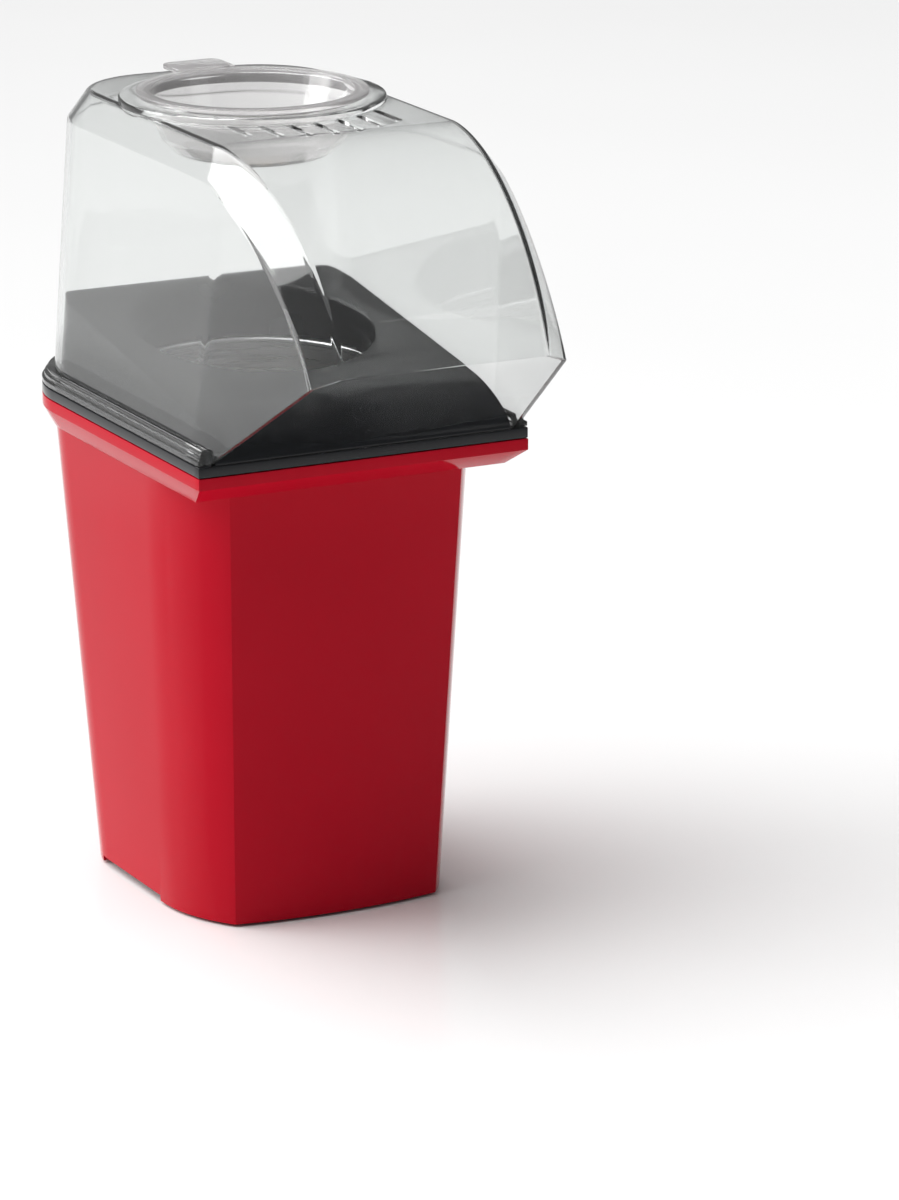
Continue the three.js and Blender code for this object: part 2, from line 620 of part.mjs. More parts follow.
// A lead's end stands in one of the terminal block's wells.
const inWell = (place) => [2, -5].map((above) => [
  TERMINALS.middle + place * TERMINALS.spacing, TERMINALS.y, TERMINALS.top + above,
]);
add('switch_lead', lead([0, 84.4, 47], [-6, 80, 42], [-18, 76.5, 30], ...inWell(0)), materials.cream());
add(
  'thermostat_lead',
  lead([-THERMOSTAT_TAB.x, THERMOSTAT_TAB.y, THERMOSTAT_TAB.z], [-13, 102.5, 115], [-15, 102, 80],
    [-20, 96, 56], [-30, 84, 34], ...inWell(-1)),
  materials.cream(),
);
add(
  'fuse_lead',
  lead([THERMOSTAT_TAB.x, THERMOSTAT_TAB.y, THERMOSTAT_TAB.z], [12.5, 100.5, 136], [20, 98, 124],
    [27, 92, 120], FUSE_FOOT),
  materials.cream(),
);
[-1, 1].forEach((side, i) => {
  const wire = lead([side * 8, -6, 17], [side * 10, 10, 20], [side * 11, 28, 20.5], [side * 11, 38, 23.2]);
  add(`motor_lead_${i + 1}`, wire, materials.cream());
});

// ---------- On/off rocker ----------
const PIVOT_DEPTH = -3.4;
const ROCKER_REST = 8; // degrees from level

function switchBezel() {
  const body = block([-6.4, -13, -9.9], [6.4, 1, 9.9]);
  const flange = block([-8, GAP, -11.5], [8, 2, 11.5]);
  const pocket = block([-4.9, -11.5, -8.3], [4.9, 3, 8.3]);
  const pivots = solidFrom(
    new THREE.CylinderGeometry(1.4, 1.4, 12, 16).rotateZ(Math.PI / 2).translate(0, PIVOT_DEPTH, 0),
  );
  const blades = [-5, 0, 5].map((z) => block([-2.5, -20, z - 0.5], [2.5, -12.4, z + 0.5]));
  return join(cut(join(body, flange), pocket, pivots), ...blades);
}

function switchRocker() {
  const half = 4.5;
  const round = 7.4;
  const lean = THREE.MathUtils.degToRad(10);
  const outline = [
    [0, 0.6], [round * Math.cos(lean), 0.6 + round * Math.sin(lean)],
    [round * 0.96, -3.2], [3, -7], [-3, -7], [-round * 0.96, -3.2],
    [-round * Math.cos(lean), 0.6 + round * Math.sin(lean)],
  ].map(([along, out]) => [out, along]);
  const pins = solidFrom(
    new THREE.CylinderGeometry(1.1, 1.1, 11.6, 16).rotateZ(Math.PI / 2).translate(0, PIVOT_DEPTH, 0),
  );
  // At rest it is off: its lower half is pressed in.
  const level = join(sweptAcross(outline, half), pins).translate([0, -PIVOT_DEPTH, 0]);
  return level.rotate([-ROCKER_REST, 0, 0]).translate([0, PIVOT_DEPTH, 0]);
}
add('switch_bezel', onBackWall(switchBezel(), SWITCH), materials.darkPlastic());
add('switch_rocker', onBackWall(switchRocker(), SWITCH), materials.darkPlastic());

// ---------- Cover ----------
// The cover's cross-section has leaning side walls, a chamfer from crease A up to crease B, and a
// flat top. Forward of HOOD_Y the creases come down in superelliptic curves to the spout's lip.
const COVER_FOOT = 197.4; // where the side walls start
const COVER_BASE_HALF = 65.5;
const COVER_BACK = 121.5; // back of the cover at its foot
const HOOD_Y = FRONT + 25;
const CREASE_A = { y: FRONT + 18, z: 220, long: 85, high: 80.5, exponent: 1.5 };
const CREASE_B = { y: FRONT + 25, z: 231.5, long: 94.15, high: 81, exponent: 1.75 };
const SHOULDER_Z = CREASE_A.z + CREASE_A.high;
const TOP_HALF = 51;
const NARROWING = 0.15; // side walls draw in this much per mm ahead of the collar
const MOUTH = { y: FRONT - 2.5, z: COVER_FOOT, slope: 0.657 };

const creaseZ = ({ y, z, long, high, exponent }, at) => z + high * superArc((y - at) / long, exponent);
const ahead = (curve, at) => (at < curve.y ? creaseZ(curve, at) : curve.z + curve.high);
const wallX = (at, height) =>
  COVER_BASE_HALF - DRAFT * (height - COVER_FOOT) - NARROWING * Math.max(0, FRONT - at);

function hoodSection(at, inset, bottom) {
  const aZ = ahead(CREASE_A, at) - inset * 0.6;
  const bZ = ahead(CREASE_B, at) - inset;
  const aX = wallX(at, aZ) - inset;
  const bX = TOP_HALF - 0.086 * (HOOD_Y - at) - inset * 0.5;
  const footX = wallX(at, bottom) - inset;
  const half = [[footX, bottom], [aX, aZ], [bX, bZ]];
  const mirrored = half.map(([x, z]) => [-x, z]).reverse();
  return [...half, ...mirrored].map(([x, z]) => new THREE.Vector3(x, at, z));
}

function hoodBlock(inset, bottom) {
  const front = LIP + inset;
  const steps = 18;
  const rings = Array.from({ length: steps + 1 }, (_, i) => {
    const share = Math.sin((i / steps) * (Math.PI / 2));
    return hoodSection(HOOD_Y + 2 + (front - HOOD_Y - 2) * share, inset, bottom);
  });
  return skin(rings);
}

function rearBlock(inset, bottom) {
  const top = COVER_TOP - inset;
  const shoulder = SHOULDER_Z - inset * 0.6;
  const level = (height, half, back, radius) => [
    height, collarOutline(half - inset, HOOD_Y, back - inset, radius - inset),
  ];
  const backY = (height) => COVER_BACK - 0.03 * (height - COVER_FOOT);
  return tower([
    level(bottom, wallX(0, bottom), backY(bottom), 42),
    level(shoulder, wallX(0, shoulder), backY(shoulder), 40),
    level(top, TOP_HALF + inset * 0.5, COVER_BACK - 13, 32),
  ]);
}

const coverBlock = (inset, bottom) => join(hoodBlock(inset, bottom), rearBlock(inset, bottom));

// The ribbed flange that lies on the collar, along the sides and round the back.
function coverFlange() {
  const low = COLLAR_Z + GAP;
  const steps = [[0, 2], [1, 3.8], [2.2, 5.6]];
  const layers = steps.map(([inset, height]) => {
    const outline = collarOutline(HALF - inset, FRONT + 0.6 + inset, BACK - inset, 46 - inset);
    return tower([[low, outline], [low + height, outline]]);
  });
  return join(...layers);
}

const OPENING_RADIUS = 43;
const BOSS = { radius: 52.4, top: COVER_TOP + 2 };
const VENT = { spacing: 10.6, width: 3, length: 22 };

function coverShell() {
  const bottom = COLLAR_Z + GAP;
  const outside = join(
    coverBlock(0, bottom),
    disc(BOSS.radius, COVER_TOP - 8, BOSS.top, 0, AXIS_Y, 48),
    coverFlange(),
  );
  const hollow = cut(
    coverBlock(CLEAR_WALL, bottom - 5),
    disc(BOSS.radius - 2, COVER_TOP - 3, BOSS.top + 1, 0, AXIS_Y, 48),
  );
  const opening = disc(OPENING_RADIUS, COVER_TOP - 20, BOSS.top + 5, 0, AXIS_Y, 48);
  // Seven vent slots run forward from the boss.
  const vents = Array.from({ length: 7 }, (_, i) => {
    const x = (i - 3) * VENT.spacing;
    const back = AXIS_Y - Math.sqrt((BOSS.radius + 1.4) ** 2 - x ** 2);
    const side = VENT.width / 2;
    return block([x - side, back - VENT.length, COVER_TOP - 12], [x + side, back, BOSS.top]);
  });
  // The mouth is one flat cut from the collar up to the lip.
  const far = 100;
  const mouth = sweptAcross([
    [MOUTH.y, MOUTH.z], [MOUTH.y - far, MOUTH.z + far * MOUTH.slope], [MOUTH.y - far, MOUTH.z - far],
    [MOUTH.y + 12, MOUTH.z - far], [MOUTH.y + 12, MOUTH.z - 12 * MOUTH.slope],
  ], 90);
  return cut(outside, hollow, opening, mouth, ...vents);
}
add('cover_shell', coverShell(), materials.clear());

// ---------- Measuring cup ----------
function butterCup() {
  const rimLow = BOSS.top + GAP;
  const rimTop = rimLow + 1.9;
  const floor = rimTop - 25.5;
  const bowl = turned([
    [0, floor], [29, floor], [33.2, floor + 1.8], [35.2, floor + 6], [41.8, rimLow], [45.6, rimLow],
    [45.6, rimTop], [40, rimTop], [33.4, floor + 7], [31.8, floor + 3.4], [28.6, floor + 1.8],
    [0, floor + 1.8],
  ], 0, AXIS_Y);
  const tabShape = new THREE.Shape();
  tabShape.moveTo(-12.5, 40);
  tabShape.lineTo(12.5, 40);
  tabShape.lineTo(12.5, 55.5);
  tabShape.absarc(8, 55.5, 4.5, 0, Math.PI / 2, false);
  tabShape.absarc(-8, 55.5, 4.5, Math.PI / 2, Math.PI, false);
  const tab = new THREE.ExtrudeGeometry(tabShape, { depth: 1.9, bevelEnabled: false, curveSegments: 6 });
  const inside = turned([[0, floor + 4], [32, floor + 4], [40, rimTop + 1], [0, rimTop + 1]], 0, AXIS_Y);
  return join(bowl, cut(solidFrom(tab.translate(0, AXIS_Y, rimLow + 0.9)), inside));
}
add('butter_cup', butterCup(), materials.clear());

export default group;
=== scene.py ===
"""A hot-air popcorn maker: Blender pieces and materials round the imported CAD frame."""
import json
import math

import bmesh
import bpy
from mathutils import Matrix, Vector


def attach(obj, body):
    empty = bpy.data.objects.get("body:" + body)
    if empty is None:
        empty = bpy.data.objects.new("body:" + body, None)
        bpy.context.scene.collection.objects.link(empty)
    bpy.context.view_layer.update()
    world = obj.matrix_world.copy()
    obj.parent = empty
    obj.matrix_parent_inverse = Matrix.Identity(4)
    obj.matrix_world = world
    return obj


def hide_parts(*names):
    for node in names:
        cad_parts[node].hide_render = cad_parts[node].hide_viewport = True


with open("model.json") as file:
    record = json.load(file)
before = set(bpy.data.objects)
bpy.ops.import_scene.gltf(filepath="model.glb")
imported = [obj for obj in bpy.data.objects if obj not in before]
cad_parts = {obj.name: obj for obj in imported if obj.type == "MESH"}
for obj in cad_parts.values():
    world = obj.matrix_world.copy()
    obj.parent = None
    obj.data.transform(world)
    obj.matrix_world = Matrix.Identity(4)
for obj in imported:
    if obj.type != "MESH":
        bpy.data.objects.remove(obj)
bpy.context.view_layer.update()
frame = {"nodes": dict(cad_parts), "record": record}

MM = 0.001

# ---------- Camera ----------
camera_data = bpy.data.cameras.new("camera")
camera_data.lens = 180
camera_data.sensor_width = 36
camera = bpy.data.objects.new("camera", camera_data)
camera.location = (-0.98015, -2.0454, 0.76134)
camera_target = Vector((0.03581, -0.0585, 0.12959))
camera.rotation_euler = (camera_target - camera.location).to_track_quat("-Z", "Y").to_euler()
bpy.context.scene.collection.objects.link(camera)
bpy.context.scene.camera = camera

# ---------- Driving dimensions, mm, as on the CAD model ----------
HALF = 70
FRONT = -58.5
BACK = 126.5
AXIS_Y = 40.2
RIM_Z = 190
COLLAR_Z = 194.6
COLLAR_RADIUS = 46
COVER_TOP = 312.5
WALL = 2.4
CLEAR_WALL = 2
GAP = 0.3
FLARE_Z = 178
FOOT = 1
CHAMBER_RADIUS = 46
CHAMBER_RIM = 206


# ---------- Mesh helpers ----------
def make(name, vertices, faces):
    """A mesh object in metres from vertices in mm."""
    mesh = bpy.data.meshes.new(name)
    mesh.from_pydata([Vector(v) * MM for v in vertices], [], faces)
    mesh.validate()
    thing = bpy.data.objects.new(name, mesh)
    bpy.context.scene.collection.objects.link(thing)
    return thing


def outward(thing, distance=0.01):
    """Welds points closer than a distance in mm and turns every face outwards."""
    work = bmesh.new()
    work.from_mesh(thing.data)
    bmesh.ops.remove_doubles(work, verts=work.verts, dist=distance * MM)
    bmesh.ops.recalc_face_normals(work, faces=work.faces)
    work.to_mesh(thing.data)
    work.free()
    return thing


def bake_modifiers(thing):
    """Replaces the mesh by what its modifiers make of it."""
    graph = bpy.context.evaluated_depsgraph_get()
    made = bpy.data.meshes.new_from_object(thing.evaluated_get(graph))
    thing.modifiers.clear()
    thing.data = made
    return thing


def bevel(thing, width, segments=3, angle=30):
    """Rounds every edge sharper than the angle."""
    rounding = thing.modifiers.new("rounding", "BEVEL")
    rounding.width = width * MM
    rounding.segments = segments
    rounding.limit_method = "ANGLE"
    rounding.angle_limit = math.radians(angle)
    rounding.use_clamp_overlap = True
    return bake_modifiers(thing)


def combine(thing, tool, operation):
    """Joins or cuts with another closed mesh, which is used up."""
    step = thing.modifiers.new(operation, "BOOLEAN")
    step.operation = operation
    step.object = tool
    step.solver = "EXACT"
    bpy.context.view_layer.update()
    bake_modifiers(thing)
    bpy.data.objects.remove(tool)
    return thing


def shade(thing, angle=32):
    """Smooth shading that breaks at edges sharper than the angle."""
    work = bmesh.new()
    work.from_mesh(thing.data)
    for face in work.faces:
        face.smooth = True
    for edge in work.edges:
        edge.smooth = edge.calc_face_angle(0) < math.radians(angle)
    work.to_mesh(thing.data)
    work.free()
    return thing


def loft(name, rings, wrap=False):
    """A skin over rings of equal length. Its ends are capped, or joined to each other by wrap."""
    count = len(rings[0])
    vertices = [point for ring in rings for point in ring]
    faces = []
    bands = len(rings) if wrap else len(rings) - 1
    for band in range(bands):
        low = band * count
        high = ((band + 1) % len(rings)) * count
        for i in range(count):
            j = (i + 1) % count
            faces.append((low + i, low + j, high + j, high + i))
    if not wrap:
        faces.append(tuple(reversed(range(count))))
        faces.append(tuple(range(len(vertices) - count, len(vertices))))
    return outward(make(name, vertices, faces))


def arc(x, y, radius, start, end, steps):
    """Points round a centre from one angle to another, in degrees."""
    angles = [math.radians(start + (end - start) * i / steps) for i in range(steps + 1)]
    return [(x + radius * math.cos(a), y + radius * math.sin(a)) for a in angles]


def soft_corner(start, corner, end, steps):
    """Points of a small curve that leaves one side of a corner and meets the other."""
    points = []
    for k in range(steps + 1):
        t = k / steps
        points.append(tuple(start * (1 - t) ** 2 + corner * 2 * t * (1 - t) + end * t**2))
    return points


def fillet(points, radius, steps=4):
    """A closed outline with its corners rounded. radius is one number or one for each corner."""
    most = 0.49
    radii = radius if isinstance(radius, (list, tuple)) else [radius] * len(points)
    made = []
    for i, corner in enumerate(points):
        here = Vector(corner)
        before = Vector(points[i - 1]) - here
        after = Vector(points[(i + 1) % len(points)]) - here
        turn = before.angle(after)
        reach = min(radii[i] / math.tan(turn / 2), before.length * most, after.length * most)
        if reach < 0.01:
            made.append(tuple(here))
            continue
        start = here + before.normalized() * reach
        end = here + after.normalized() * reach
        made += soft_corner(start, here, end, steps)
    return made


def turned(name, profile, segments=96, centre=(0, AXIS_Y)):
    """A closed profile of (radius, height) turned about an upright axis."""
    rings = []
    for i in range(segments):
        a = 2 * math.pi * i / segments
        ring = [(centre[0] + r * math.cos(a), centre[1] + r * math.sin(a), z) for r, z in profile]
        rings.append(ring)
    return loft(name, rings, wrap=True)


def prism(name, outline, low, high):
    """An upright solid over an outline of (x, y)."""
    return loft(name, [[(x, y, z) for x, y in outline] for z in (low, high)])


def ring_of(x, y, radius, steps=40):
    """The points of a circle as an outline."""
    return arc(x, y, radius, 0, 360 - 360 / steps, steps - 1)


def box_piece(name, low, high):
    """A box between two opposite corners."""
    corners = [(low[0], low[1]), (high[0], low[1]), (high[0], high[1]), (low[0], high[1])]
    return prism(name, corners, low[2], high[2])


def gather(things):
    """Several separate meshes as one, on the first."""
    work = bmesh.new()
    for thing in things:
        work.from_mesh(thing.data)
    work.to_mesh(things[0].data)
    work.free()
    for thing in things[1:]:
        bpy.data.objects.remove(thing)
    return things[0]


def finish_piece(thing, body, material, slot, *nodes):
    """Gives a piece its material and its body, and hides the nodes that it stands in for."""
    thing.data.materials.clear()
    thing.data.materials.append(material)
    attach(thing, body)
    if nodes:
        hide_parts(*nodes)
    return thing


# ---------- Materials ----------
class Surface:
    """A principled material with a few shorthands for its nodes."""

    def __init__(self, name, **sockets):
        self.material = bpy.data.materials.new(name)
        self.material.use_nodes = True
        self.tree = self.material.node_tree
        self.shader = self.tree.nodes["Principled BSDF"]
        self.place = self.node("ShaderNodeTexCoord").outputs["Object"]
        for key, value in sockets.items():
            self.shader.inputs[key.replace("_", " ")].default_value = value

    def node(self, kind, **settings):
        made = self.tree.nodes.new(kind)
        for key, value in settings.items():
            setattr(made, key, value)
        return made

    def link(self, source, target):
        self.tree.links.new(source, target)

    def noise(self, scale, detail=4, roughness=0.5, stretch=(1, 1, 1)):
        """Noise of so many cells per metre, from 0 to 1."""
        mapping = self.node("ShaderNodeMapping")
        mapping.inputs["Scale"].default_value = stretch
        self.link(self.place, mapping.inputs["Vector"])
        made = self.node("ShaderNodeTexNoise")
        made.inputs["Scale"].default_value = scale
        made.inputs["Detail"].default_value = detail
        made.inputs["Roughness"].default_value = roughness
        self.link(mapping.outputs["Vector"], made.inputs["Vector"])
        return made.outputs["Fac"]

    def spread(self, source, low, high, start=0.3, end=0.7):
        """Maps a 0 to 1 value to low to high."""
        made = self.node("ShaderNodeMapRange")
        made.inputs["From Min"].default_value = start
        made.inputs["From Max"].default_value = end
        made.inputs["To Min"].default_value = low
        made.inputs["To Max"].default_value = high
        self.link(source, made.inputs["Value"])
        return made.outputs["Result"]

    def colours(self, source, *stops):
        """Sets the base colour from (position, colour) stops."""
        ramp = self.node("ShaderNodeValToRGB")
        while len(ramp.color_ramp.elements) < len(stops):
            ramp.color_ramp.elements.new(0.5)
        for element, (position, colour) in zip(ramp.color_ramp.elements, stops):
            element.position = position
            element.color = (*colour, 1)
        self.link(source, ramp.inputs["Fac"])
        self.link(ramp.outputs["Color"], self.shader.inputs["Base Color"])

    def flakes(self, scale):
        """Cells of an even value each, so many per metre, from 0 to 1."""
        cells = self.node("ShaderNodeTexVoronoi")
        cells.inputs["Scale"].default_value = scale
        self.link(self.place, cells.inputs["Vector"])
        grey = self.node("ShaderNodeRGBToBW")
        self.link(cells.outputs["Color"], grey.inputs["Color"])
        return grey.outputs["Val"]

    def height(self, low, high):
        """0 at the low height and 1 at the high one, both in mm."""
        parts = self.node("ShaderNodeSeparateXYZ")
        self.link(self.place, parts.inputs["Vector"])
        return self.spread(parts.outputs["Z"], 0, 1, low * MM, high * MM)

    def blend(self, first, second, share):
        """Part of one 0 to 1 value and part of another."""
        made = self.node("ShaderNodeMix")
        made.inputs["Factor"].default_value = share
        self.link(first, made.inputs["A"])
        self.link(second, made.inputs["B"])
        return made.outputs["Result"]

    def roughness(self, source, low, high):
        self.link(self.spread(source, low, high), self.shader.inputs["Roughness"])

    def bump(self, source, distance, strength):
        """Raises the surface by up to a distance in mm."""
        made = self.node("ShaderNodeBump")
        made.inputs["Distance"].default_value = distance * MM
        made.inputs["Strength"].default_value = strength
        self.link(source, made.inputs["Height"])
        self.link(made.outputs["Normal"], self.shader.inputs["Normal"])


def red_plastic():
    """A glossy moulding of an even red."""
    surface = Surface("red_plastic", IOR=1.16)
    dark, light = (0.42, 0.003, 0.014), (0.46, 0.004, 0.017)
    surface.colours(surface.noise(9, 3), (0.3, dark), (0.7, light))
    surface.roughness(surface.noise(60, 5), 0.06, 0.12)
    surface.bump(surface.noise(45, 2), 0.03, 0.5)
    return surface.material


def black_plastic(name="black_plastic"):
    """A glossy black moulding."""
    surface = Surface(name, IOR=1.36)
    dark, light = (0.006, 0.0065, 0.008), (0.010, 0.011, 0.013)
    surface.colours(surface.noise(12, 3), (0.3, dark), (0.7, light))
    surface.roughness(surface.noise(80, 5), 0.10, 0.18)
    surface.bump(surface.noise(40, 2), 0.012, 0.4)
    return surface.material


def clear_plastic(name, tint, clarity):
    """A see-through moulding. clarity is the share of light that goes in."""
    surface = Surface(name, Transmission_Weight=clarity, IOR=1.46)
    paler = tuple(min(1, c * 1.012) for c in tint)
    surface.colours(surface.noise(6, 2), (0.3, tint), (0.7, paler))
    surface.roughness(surface.noise(30, 4), 0.012, 0.035)
    surface.bump(surface.noise(14, 2), 0.02, 0.3)
    return surface.material


def grained_plastic(name, dark, light, low=0.4, high=0.55):
    """A moulding with a fine spark-eroded grain."""
    surface = Surface(name)
    surface.colours(surface.noise(25, 4), (0.3, dark), (0.7, light))
    surface.roughness(surface.noise(300, 3), low, high)
    surface.bump(surface.noise(1600, 3), 0.05, 0.6)
    return surface.material


def spun_aluminium():
    """Turned on a lathe: fine rings up the wall, and a straw tint where the hot air comes in."""
    surface = Surface("aluminium", Metallic=1)
    lines = surface.noise(40, 4, stretch=(0.4, 0.4, 30))
    heat = surface.blend(surface.height(206, 132), surface.noise(30, 4), 0.25)
    bright, warm, straw = (0.74, 0.74, 0.75), (0.68, 0.66, 0.62), (0.58, 0.49, 0.38)
    surface.colours(heat, (0.25, bright), (0.6, warm), (0.85, straw))
    surface.roughness(lines, 0.2, 0.38)
    surface.bump(lines, 0.03, 0.5)
    return surface.material


def sheet_mica():
    """Pressed from flakes: mottled and a little pearly."""
    surface = Surface("mica", Specular_IOR_Level=0.7)
    mottle = surface.blend(surface.flakes(420), surface.noise(60, 5), 0.5)
    dark, middle, pearl = (0.33, 0.24, 0.12), (0.46, 0.37, 0.22), (0.58, 0.50, 0.34)
    surface.colours(mottle, (0.3, dark), (0.55, middle), (0.75, pearl))
    surface.roughness(surface.flakes(420), 0.22, 0.5)
    surface.bump(mottle, 0.04, 0.5)
    return surface.material


def heated_wire():
    """Resistance wire with the dark blue-grey skin that heat gives it."""
    surface = Surface("nichrome", Metallic=1)
    dark, middle, brown = (0.07, 0.065, 0.07), (0.13, 0.12, 0.13), (0.22, 0.18, 0.15)
    surface.colours(surface.noise(160, 5), (0.3, dark), (0.5, middle), (0.7, brown))
    surface.roughness(surface.noise(500, 3), 0.38, 0.62)
    surface.bump(surface.noise(1500, 3), 0.02, 0.5)
    return surface.material


def zinc_steel():
    """Zinc-coated sheet: large faint spangles under fine rolling lines."""
    surface = Surface("steel", Metallic=1)
    spangle = surface.blend(surface.flakes(90), surface.noise(30, 4), 0.5)
    surface.colours(spangle, (0.3, (0.42, 0.43, 0.45)), (0.7, (0.58, 0.59, 0.60)))
    surface.roughness(spangle, 0.24, 0.42)
    surface.bump(surface.noise(300, 3, stretch=(1, 1, 14)), 0.02, 0.4)
    return surface.material


def rubber():
    """Soft, dark and matt."""
    surface = Surface("rubber", Sheen_Weight=0.1)
    dark, light = (0.010, 0.010, 0.010), (0.022, 0.021, 0.020)
    surface.colours(surface.noise(90, 5), (0.3, dark), (0.7, light))
    surface.roughness(surface.noise(200, 3), 0.7, 0.9)
    surface.bump(surface.noise(900, 3), 0.06, 0.7)
    return surface.material


looks = {
    "red_plastic": red_plastic(),
    "black_plastic": black_plastic(),
    "clear_plastic": clear_plastic("clear_plastic", (0.94, 0.952, 0.946), 0.985),
    "cup_plastic": clear_plastic("cup_plastic", (0.985, 0.972, 0.972), 0.82),
    "dark_plastic": grained_plastic("dark_plastic", (0.012, 0.012, 0.014), (0.02, 0.02, 0.022)),
    "cream_plastic": grained_plastic("cream_plastic", (0.58, 0.52, 0.40), (0.68, 0.63, 0.52)),
    "circuit_board": grained_plastic(
        "circuit_board", (0.01, 0.09, 0.03), (0.02, 0.13, 0.05), 0.3, 0.45
    ),
    "mica": sheet_mica(),
    "aluminium": spun_aluminium(),
    "steel": zinc_steel(),
    "nichrome": heated_wire(),
    "rubber": rubber(),
    "rocker_plastic": black_plastic("rocker_plastic"),
    "lead_sleeve": grained_plastic(
        "lead_sleeve", (0.62, 0.59, 0.52), (0.72, 0.70, 0.64), 0.45, 0.6
    ),
}

# ---------- CAD nodes keep their shape and get their material and a fine rounding ----------
JOIN_DISTANCE = 0.01
FINE_ROUNDING = {"width": 0.2, "segments": 2, "angle": 42}
SPLIT_ANGLE = 38

slots = {part["node"]: part["material_slot"] for part in frame["record"]["subparts"]}
for node, thing in frame["nodes"].items():
    thing.data.materials.clear()
    thing.data.materials.append(looks[slots[node]])
    for face in thing.data.polygons:
        face.use_smooth = True
    joined = thing.modifiers.new("joined", "WELD")
    joined.merge_threshold = JOIN_DISTANCE * MM
    rounding = thing.modifiers.new("rounding", "BEVEL")
    rounding.width = FINE_ROUNDING["width"] * MM
    rounding.segments = FINE_ROUNDING["segments"]
    rounding.limit_method = "ANGLE"
    rounding.angle_limit = math.radians(FINE_ROUNDING["angle"])
    split = thing.modifiers.new("split", "EDGE_SPLIT")
    split.split_angle = math.radians(SPLIT_ANGLE)


# ---------- Outlines ----------
BOW_STEPS = 24
CORNER_STEPS = 14
BACK_STEPS = 18
BODY_TOP = {"half": 65.7, "curve": 67, "curve_y": 1.5, "back": 119.5, "back_radius": 42}
BODY_FOOT = {"half": 57.6, "curve": 58, "curve_y": 7.1, "back": 99.5, "back_radius": 40}
CREASE_ANGLE = 40.5
FRONT_BOW = 4.2


def back_corners(half, back, radius):
    """The two round corners at the back, from the right side to the left."""
    right = arc(half - radius, back - radius, radius, 0, 90, BACK_STEPS)
    left = arc(-half + radius, back - radius, radius, 90, 180, BACK_STEPS)
    return right + left


def body_ring(height, inset=0.0):
    """The tapered body's outline at a height."""
    share = height / FLARE_Z
    size = {key: BODY_FOOT[key] + (BODY_TOP[key] - BODY_FOOT[key]) * share for key in BODY_TOP}
    half = size["half"] - inset
    curve = size["curve"] - inset
    corner = arc(half - curve, size["curve_y"], curve, -CREASE_ANGLE, 0, CORNER_STEPS)
    crease_x, crease_y = corner[0]
    bow = []
    for i in range(1, BOW_STEPS):
        x = crease_x * (2 * i / BOW_STEPS - 1)
        bow.append((x, crease_y - FRONT_BOW * (1 - (x / crease_x) ** 2)))
    back = back_corners(half, size["back"] - inset, size["back_radius"] - inset)
    mirrored = [(-x, y) for x, y in reversed(corner)]
    return [(x, y, height) for x, y in bow + corner + back + mirrored]


def collar_ring(height, half, front, back, back_radius):
    """The collar's outline, with as many points as the body's."""
    bow = [(half * (2 * i / BOW_STEPS - 1), front) for i in range(1, BOW_STEPS)]
    side_y = 10
    corner = [(half, front + (side_y - front) * i / CORNER_STEPS) for i in range(CORNER_STEPS + 1)]
    mirrored = [(-x, y) for x, y in reversed(corner)]
    outline = bow + corner + back_corners(half, back, back_radius) + mirrored
    return [(x, y, height) for x, y in outline]


# ---------- Housing ----------
SWITCH_Z = 52
GLAND_Z = 22
GLAND_RADIUS = 7
SCREW_HOLE = 2
BASE_SCREWS = [(46, 3.5), (-46, 3.5), (46, 63.5), (-46, 63.5)]
DECK_SCREWS = [(55, -8), (-55, -8), (55.5, 76), (-55.5, 76)]
POST = {"radius": 4.5, "low": 8, "high": 38, "wall": 62, "hole_top": 24}
LUG = {"low": 166, "high": 169, "wall": 66, "reach": 5, "half": 6}
RIB_HALF = 1


def across(name, outline, front, back):
    """A solid along Y over an outline of (x, z)."""
    return loft(name, [[(x, y, z) for x, z in outline] for y in (front, back)])


def on_back_wall(thing, height):
    """Puts a piece drawn round the origin, facing +Y, on the sloping back wall."""
    rise = BODY_TOP["back"] - BODY_FOOT["back"]
    back = BODY_FOOT["back"] + rise * height / FLARE_Z
    tilt = Matrix.Rotation(-math.atan2(rise, FLARE_Z), 4, "X")
    thing.data.transform(Matrix.Translation((0, back * MM, height * MM)) @ tilt)
    return thing


def rib_to_wall(x, y, wall, low, high):
    """An upright rib from a post's middle out to the side wall."""
    side = math.copysign(wall, x)
    near = (min(x, side), y - RIB_HALF, low)
    far = (max(x, side), y + RIB_HALF, high)
    return box_piece("rib", near, far)


def drills(places, low, high, radius=SCREW_HOLE):
    """Upright rods that cut a screw hole at each place."""
    return [prism("drill", ring_of(x, y, radius, 24), low, high) for x, y in places]


def housing_posts():
    """The base screws' posts and the deck screws' lugs, each running into the wall."""
    solids = []
    for x, y in BASE_SCREWS:
        post = prism("post", ring_of(x, y, POST["radius"]), POST["low"], POST["high"])
        rib = rib_to_wall(x, y, POST["wall"], POST["low"], POST["high"])
        solids.append(combine(post, rib, "UNION"))
    for x, y in DECK_SCREWS:
        inside = x - math.copysign(LUG["reach"], x)
        wall = math.copysign(LUG["wall"], x)
        near = (min(inside, wall), y - LUG["half"], LUG["low"])
        far = (max(inside, wall), y + LUG["half"], LUG["high"])
        solids.append(box_piece("lug", near, far))
    inner = loft("inner", [body_ring(z, WALL * 0.6) for z in (2, FLARE_Z)])
    posts = combine(gather(solids), inner, "INTERSECT")
    holes = drills(BASE_SCREWS, 0, POST["hole_top"])
    holes += drills(DECK_SCREWS, LUG["low"] - 6, LUG["high"] + 3)
    return combine(posts, gather(holes), "DIFFERENCE")


